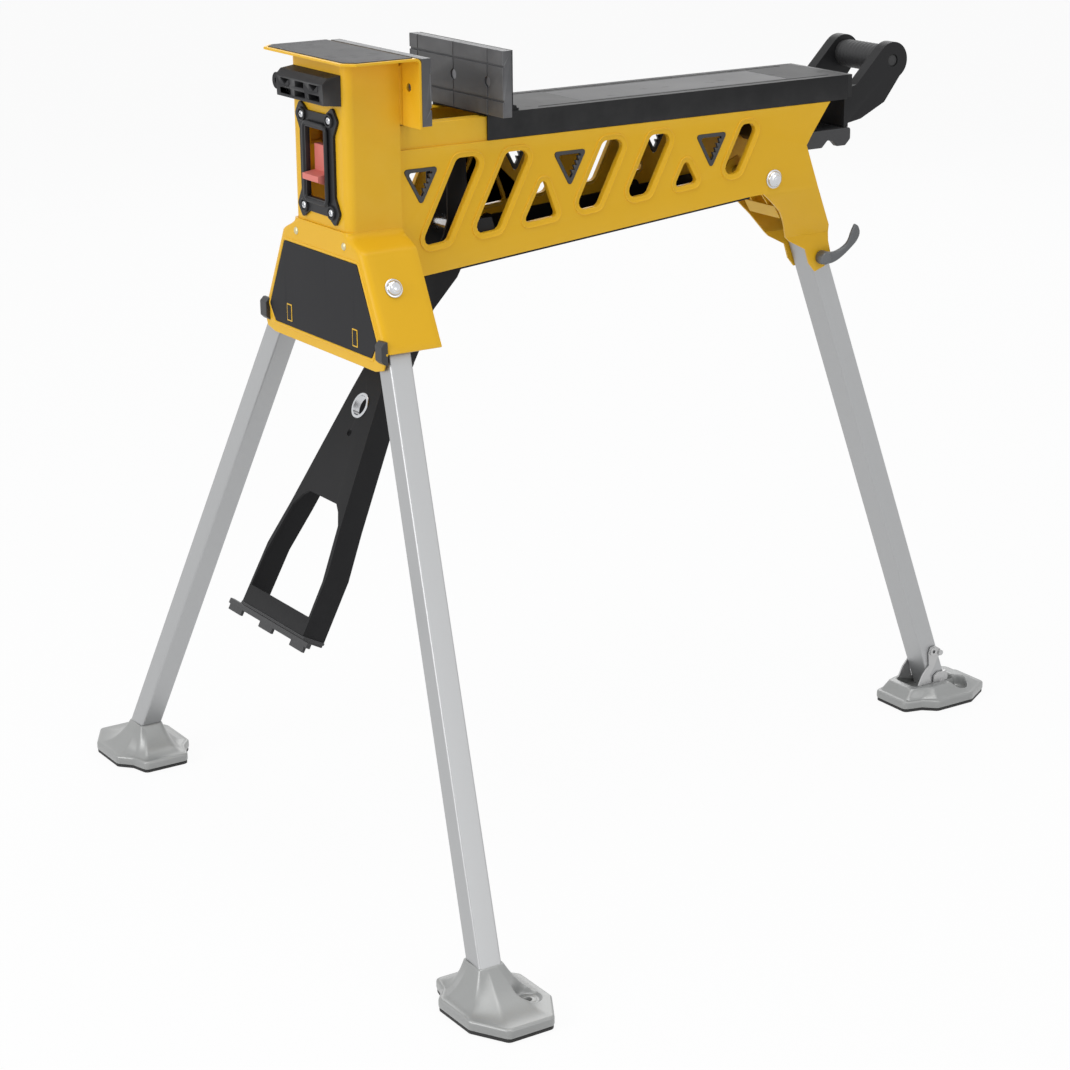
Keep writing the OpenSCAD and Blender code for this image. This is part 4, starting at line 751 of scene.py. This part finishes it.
# ---- Slide
# A black steel channel over the rail. Its top carries a smooth dark grey inlay, left bare, between two beads.
slide_black = finish_material("slide_black", (0.010, 0.010, 0.011), 0.55, tone=0.2, bump=0.00002, grain=800, cloud=10,
                              scuff=0.8, edge_colour=(0.06, 0.06, 0.06), edge=0.4, specular=0.18)
soften("slide_channel", slide_black, 1.2 * mm, 3)
soften("moving_jaw_bracket", slide_black, 0.6 * mm)
slide_inlay_grey = finish_material("slide_inlay_grey", (0.032, 0.032, 0.034), 0.5, tone=0.15, bump=0.00002, grain=700,
                                   scuff=0.7, specular=0.2)
soften("slide_inlay", slide_inlay_grey, 0.2 * mm)
bead_low, bead_high, bead_front, bead_rear = 812.9 * mm, 813.9 * mm, 236.5 * mm, 626.5 * mm
for index, y in enumerate((-44 * mm, 44 * mm)):
    bead_end = [(y - 1.6 * mm, bead_low), (y + 1.6 * mm, bead_low), (y + 0.8 * mm, bead_high),
                (y - 0.8 * mm, bead_high)]
    flat_block("slide_bead_%d" % index, bead_end, bead_front, bead_rear, 0, "slide", slide_black)

# ---- Rear handle
# Moulded black arms that curve up from the end cap, with a round soft grip between them: its rubber has
# shallow rings and draws in towards its ends, where a slimmer pin enters the arms.
handle_black = finish_material("handle_black", (0.014, 0.014, 0.015), 0.46, tone=0.15, bump=0.00007, grain=1200,
                               scuff=0.6, edge_colour=(0.07, 0.07, 0.07), edge=0.35, specular=0.2)
soften("rear_handle", handle_black, 3.2 * mm, 4, angle=32)
grip_rubber = finish_material("grip_rubber", (0.026, 0.026, 0.027), 0.6, tone=0.12, bump=0.00012, grain=1500, scuff=0.4)
grip_half, grip_radius, ring_pitch, ring_deep, end_taper = 36 * mm, 16 * mm, 6 * mm, 0.45 * mm, 1.5 * mm
along = np.linspace(-grip_half, grip_half, 61)
rings = ring_deep * (0.5 - 0.5 * np.cos(along / ring_pitch * 2 * math.pi))
swell = grip_radius - rings - end_taper * (np.abs(along) / grip_half) ** 8
pin_end = np.array([(0, 49.4), (5, 49.2), (6.8, 48.4), (6.8, 36.2)]) * mm
grip_profile = np.vstack([pin_end * [1, -1], np.column_stack([swell, along]), pin_end[::-1]])
turned("grip_sleeve", grip_profile, [((716.5 * mm - mid_x, 0, 823 * mm), (0, 1, 0))], "slide",
       grip_rubber, ["handle_grip"], facets=56)

# ---- Pedal
# A folded black steel arm with flanged sides, a bright eyelet in its upper hole and a ribbed tread.
soften("pedal_arm", black_coat, 0.6 * mm)
soften("pedal_tread", black_plastic, 0.9 * mm, 3)
rake, web_off, eyelet_down = math.radians(28), 12.2 * mm, 213 * mm
web_normal = np.array([math.cos(rake), 0, -math.sin(rake)])
web_down = np.array([-math.sin(rake), 0, -math.cos(rake)])
eyelet_place = np.array([148 * mm - mid_x, 0, 692 * mm]) - web_normal * web_off + web_down * eyelet_down
eyelet = np.array([(11.2, -1.2), (13.8, -1.2), (14.2, -0.6), (13.8, -0.1), (12.9, 0.6), (12.1, 7.2), (11.2, 7.2)]) * mm
turned("pedal_eyelet", eyelet, [(eyelet_place, web_normal)], "pedal", zinc_steel, ring=True, facets=40)

# ---- Legs
# Square aluminium tubes in front and a deeper one behind, with a satin skin whose fine streaks run along each
# tube. Black moulded plugs close the front tubes, and black moulded catches hold the front legs open.
def leg_metal(name, turn):
    """The tube finish, with its streaks turned into the tube's own direction."""
    return finish_material(name, (0.44, 0.445, 0.45), 0.42, metallic=0.75, tone=0.045, bump=0.00002, grain=1.0,
                           cloud=0.02, scuff=0.35, turn=turn, stretch=(0.0011, 0.0011, 0.12), specular=0.4)


lean = math.atan2(84.8, math.hypot(320.4, 648))
reach = math.hypot(320, 706)
rear_rake = math.asin(320 / reach) - math.asin(55.5 / reach)
for side, flip in (("far", 1), ("near", -1)):
    soften("front_leg_" + side, leg_metal("leg_metal_" + side, (flip * splay, lean, 0)), 0.4 * mm)
    soften("leg_plug_" + side, black_plastic, 0.5 * mm)
    soften("leg_catch_" + side, black_plastic, 0.9 * mm, 3)
soften("rear_leg_tube", leg_metal("leg_metal_rear", (0, -rear_rake, 0)), 0.4 * mm)

# ---- Feet
# Silver lacquered castings: a flat pad with a rounded rim and a sunk seat round its bolt hole. The front ones
# rise in a hollow curve, and the rear one swells up round a post with a steel catch. All have rubber soles.
cast_silver = finish_material("cast_silver", (0.32, 0.325, 0.32), 0.38, metallic=0.35, tone=0.07, bump=0.00009,
                              grain=420, cloud=25, scuff=0.5, edge_colour=(0.62, 0.62, 0.6), edge=0.3, coat=0.3)
sole_rubber = finish_material("sole_rubber", (0.018, 0.018, 0.018), 0.7, tone=0.15, bump=0.0001, grain=900, scuff=0.3)
foot_half, inner, outer = 48 * mm, 73 * mm, 61 * mm


def foot_outline():
    """Outline of a foot, u across and v outwards: a blunt nose outside, and a notched neck inside."""
    h, i, e = foot_half, inner, outer
    return rounded_outline([(-h * 0.58, -i), (h * 0.58, -i), (h * 0.71, -i * 0.68), (h, -i * 0.47), (h, e * 0.37),
                            (h * 0.54, e), (-h * 0.54, e), (-h, e * 0.37), (-h, -i * 0.47), (-h * 0.71, -i * 0.68)],
                           6 * mm, 4)


def even_steps(outline, count):
    """The closed outline again, with points at even distances along it."""
    loop = np.vstack([outline, outline[:1]])
    run = np.concatenate([[0], np.cumsum(np.linalg.norm(np.diff(loop, axis=0), axis=1))])
    spot = np.linspace(0, run[-1], count, endpoint=False)
    return np.column_stack([np.interp(spot, run, loop[:, k]) for k in (0, 1)])


def round_box(direction, a, b, power):
    """Where rays from a centre meet a rounded rectangle of half sizes a and b: a superellipse, which comes
    closer to the plain rectangle as its power rises."""
    unit = direction / np.linalg.norm(direction, axis=1)[:, None]
    reach = (np.abs(unit[:, 0] / a) ** power + np.abs(unit[:, 1] / b) ** power) ** (-1 / power)
    return unit * reach[:, None]


rim_rows = [(0.97, 4), (0.993, 4.4), (1, 6), (1, 11.6), (0.994, 12.9), (0.978, 13.8), (0.955, 14.2)]
hole, hole_reach, hole_floor = np.array([24 * mm, 15 * mm]), 8 * mm, 4.6 * mm
seat_reach, seat_slope, seat_z, swell_end = 15.5 * mm, 3.5 * mm, 13 * mm, 0.72


def casting_grid(neck, neck_half, neck_z, ending, hollow, shoulder=0.0, power=9, count=240):
    """Rows run from under the pad, round its rim and up a hollow curve to the neck. In the row at share t the
    points lie between rim and neck, and the height grows with t to the power hollow, or, for the share
    shoulder, swells early and stays level towards the neck. Round the hole the surface sinks to a flat seat,
    and inside it drops to the sole. The ending's rows close the neck, each drawn in by a share."""
    edge = even_steps(foot_outline(), count)
    top = neck + round_box(edge - neck, *neck_half, power)
    rows = [(edge * share, z * mm) for share, z in rim_rows]
    base, pad_top = rows[-1]
    for t in np.linspace(0, 1, 46)[1:]:
        climb = (1 - shoulder) * t ** hollow + shoulder * ease(t / swell_end)
        rows.append((base * (1 - t) + top * t, pad_top + (neck_z - pad_top) * climb))
    grid = np.array([np.column_stack([flat, np.full(count, z)]) for flat, z in rows])
    height = grid[len(rim_rows) - 1:, :, 2]
    far_off = np.linalg.norm(grid[len(rim_rows) - 1:, :, :2] - hole, axis=2)
    sink = ease((seat_reach - far_off) / seat_slope)
    height[:] = height * (1 - sink) + np.minimum(height, seat_z) * sink
    height[far_off < hole_reach] = hole_floor
    last = grid[-1, :, :2]
    ends = [np.column_stack([neck + (last - neck) * share, np.full(count, z * mm)]) for share, z in ending]
    return np.concatenate([grid, ends])


seat_ring = np.array([(4.5, 5), (4.5, 12.4), (5.1, 13.2), (9.4, 13.2), (10.2, 12.6), (10.2, 5)]) * mm


def place_foot(name, grid, centre, across, flip, body, node):
    """A casting and the seat of its bolt, moved from the foot's own u and v to the bench. The foot points to
    the side, or with across to the rear, and flip mirrors it to the near side."""
    def on_bench(points):
        u, v, z = np.moveaxis(points, -1, 0)
        x, y = (v, -u) if across else (u, v)
        return np.stack([x + centre[0] - mid_x, (y + centre[1]) * flip, z], -1)
    casting = closed_mesh("foot_casting_" + name, on_bench(grid))
    place_piece("foot_casting_" + name, casting, body, cast_silver, [node], smooth=50)
    turned("foot_seat_" + name, seat_ring, [(on_bench(np.array([*hole, 0])), (0, 0, 1))], body,
           cast_silver, ring=True)


front_x, rear_x, shin = -55 * mm, 863 * mm, 46 * mm
front_neck = np.array([shin * 84.8 / 648 - 8 * mm, -shin * 320.4 / 648])
front_grid = casting_grid(front_neck, (14.6 * mm, 16.2 * mm), shin, [(0.93, 46.4), (0.85, 45.5), (0.8, 30)], 2.1)
for side, flip in (("far", 1), ("near", -1)):
    place_foot(side, front_grid, (front_x, foot_y), False, flip, "front_leg_" + side, "front_foot_" + side)
    soften("front_sole_" + side, sole_rubber, 0.8 * mm)
rear_grid = casting_grid(np.array([0, -15 * mm]), (22.5 * mm, 36 * mm), 27 * mm, [(0.95, 26.8), (0.91, 25), (0.9, 16)],
                         1.15, shoulder=0.85, power=6)
place_foot("rear", rear_grid, (rear_x, 0), True, 1, "rear_foot", "rear_foot")
soften("rear_sole", sole_rubber, 0.8 * mm)
rear_up = np.array([-math.sin(rear_rake), 0, math.cos(rear_rake)])
rear_back = np.array([math.cos(rear_rake), 0, math.sin(rear_rake)])
post = rounded_outline(oblong(-12.5 * mm, 12.5 * mm, -17.5 * mm, 17.5 * mm), 2.5 * mm, 3)
post_base = np.array([rear_x - mid_x, 0, 0]) + post[:, :1] * rear_back + post[:, 1:] * np.array([0, 1, 0])
post_rows = np.stack([post_base + rise * rear_up for rise in (10 * mm, 27.2 * mm)])
place_piece("foot_post", closed_mesh("foot_post", post_rows), "rear_foot", cast_silver)
catch_metal = finish_material("catch_metal", (0.5, 0.5, 0.5), 0.38, metallic=0.7, tone=0.1, grain=800, scuff=0.5,
                              edge_colour=(0.75, 0.75, 0.75), edge=0.4)
soften("foot_catch", catch_metal, 0.5 * mm)

# ---- Lock lever of the rear leg
# A grey cast lever on the lock pin: its arm bends upwards and ends in a thin leaf for the thumb.
lever_grey = finish_material("lever_grey", (0.13, 0.135, 0.14), 0.4, metallic=0.5, tone=0.12, bump=0.00006,
                             grain=800, scuff=0.6, edge_colour=(0.35, 0.35, 0.36), edge=0.5)
lock_pin = np.array([641.6 * mm, 599.6 * mm])
lever_line = np.array([(0, 0), (9, -1), (18, 1), (27, 6), (34, 12), (38, 18), (40.5, 25), (40, 32), (38.5, 36)]) * mm
lever_wide = np.array([7.5, 6.8, 5.6, 4.6, 4.4, 6.0, 7.2, 5.0, 1.0]) * mm
lever_deep = np.array([3.6, 3.4, 3.0, 2.6, 2.4, 2.4, 2.3, 2.0, 0.8]) * mm
lever_off = np.array([27.5, 27.5, 28, 29, 30.5, 32, 33, 33.5, 33.5]) * mm


def swept_bar(path, wide, deep, off, count=49, facets=20):
    """A bar along a bent path in the XZ plane. Path, half width, half depth and distance to the near side
    run smoothly through the given values; each section is a rounded rectangle across the path."""
    knots = np.linspace(0, 1, len(path))
    fine = np.linspace(0, 1, count)

    def smooth(values):
        out = np.interp(fine, knots, values)
        for _ in range(6):
            out[1:-1] = (out[:-2] + 2 * out[1:-1] + out[2:]) / 4
        return out
    x, z, w, d, y = (smooth(v) for v in (path[:, 0], path[:, 1], wide, deep, off))
    direction = np.column_stack([np.gradient(x), np.gradient(z)])
    direction /= np.linalg.norm(direction, axis=1)[:, None]
    angle = np.linspace(0, 2 * math.pi, facets, endpoint=False)
    across, thick = (np.sign(f(angle)) * np.abs(f(angle)) ** 0.6 for f in (np.cos, np.sin))
    px = x[:, None] - direction[:, 1:] * across * w[:, None]
    pz = z[:, None] + direction[:, :1] * across * w[:, None]
    return np.stack([px + lock_pin[0] - mid_x, -(y[:, None] + thick * d[:, None]), pz + lock_pin[1]], -1)


lever_rows = swept_bar(lever_line, lever_wide, lever_deep, lever_off)
place_piece("rear_lever_arm", closed_mesh("rear_lever_arm", lever_rows), "rear_lock", lever_grey,
            ["rear_lock_lever"], smooth=60)
boss = np.array([(0, 17.9), (4, 17.9), (4, 21.6), (8, 21.6), (8.2, 23), (7.6, 31), (6.2, 32.6), (0, 32.8)]) * mm
turned("rear_lever_boss", boss, [((lock_pin[0] - mid_x, 0, lock_pin[1]), (0, -1, 0))], "rear_lock",
       lever_grey)
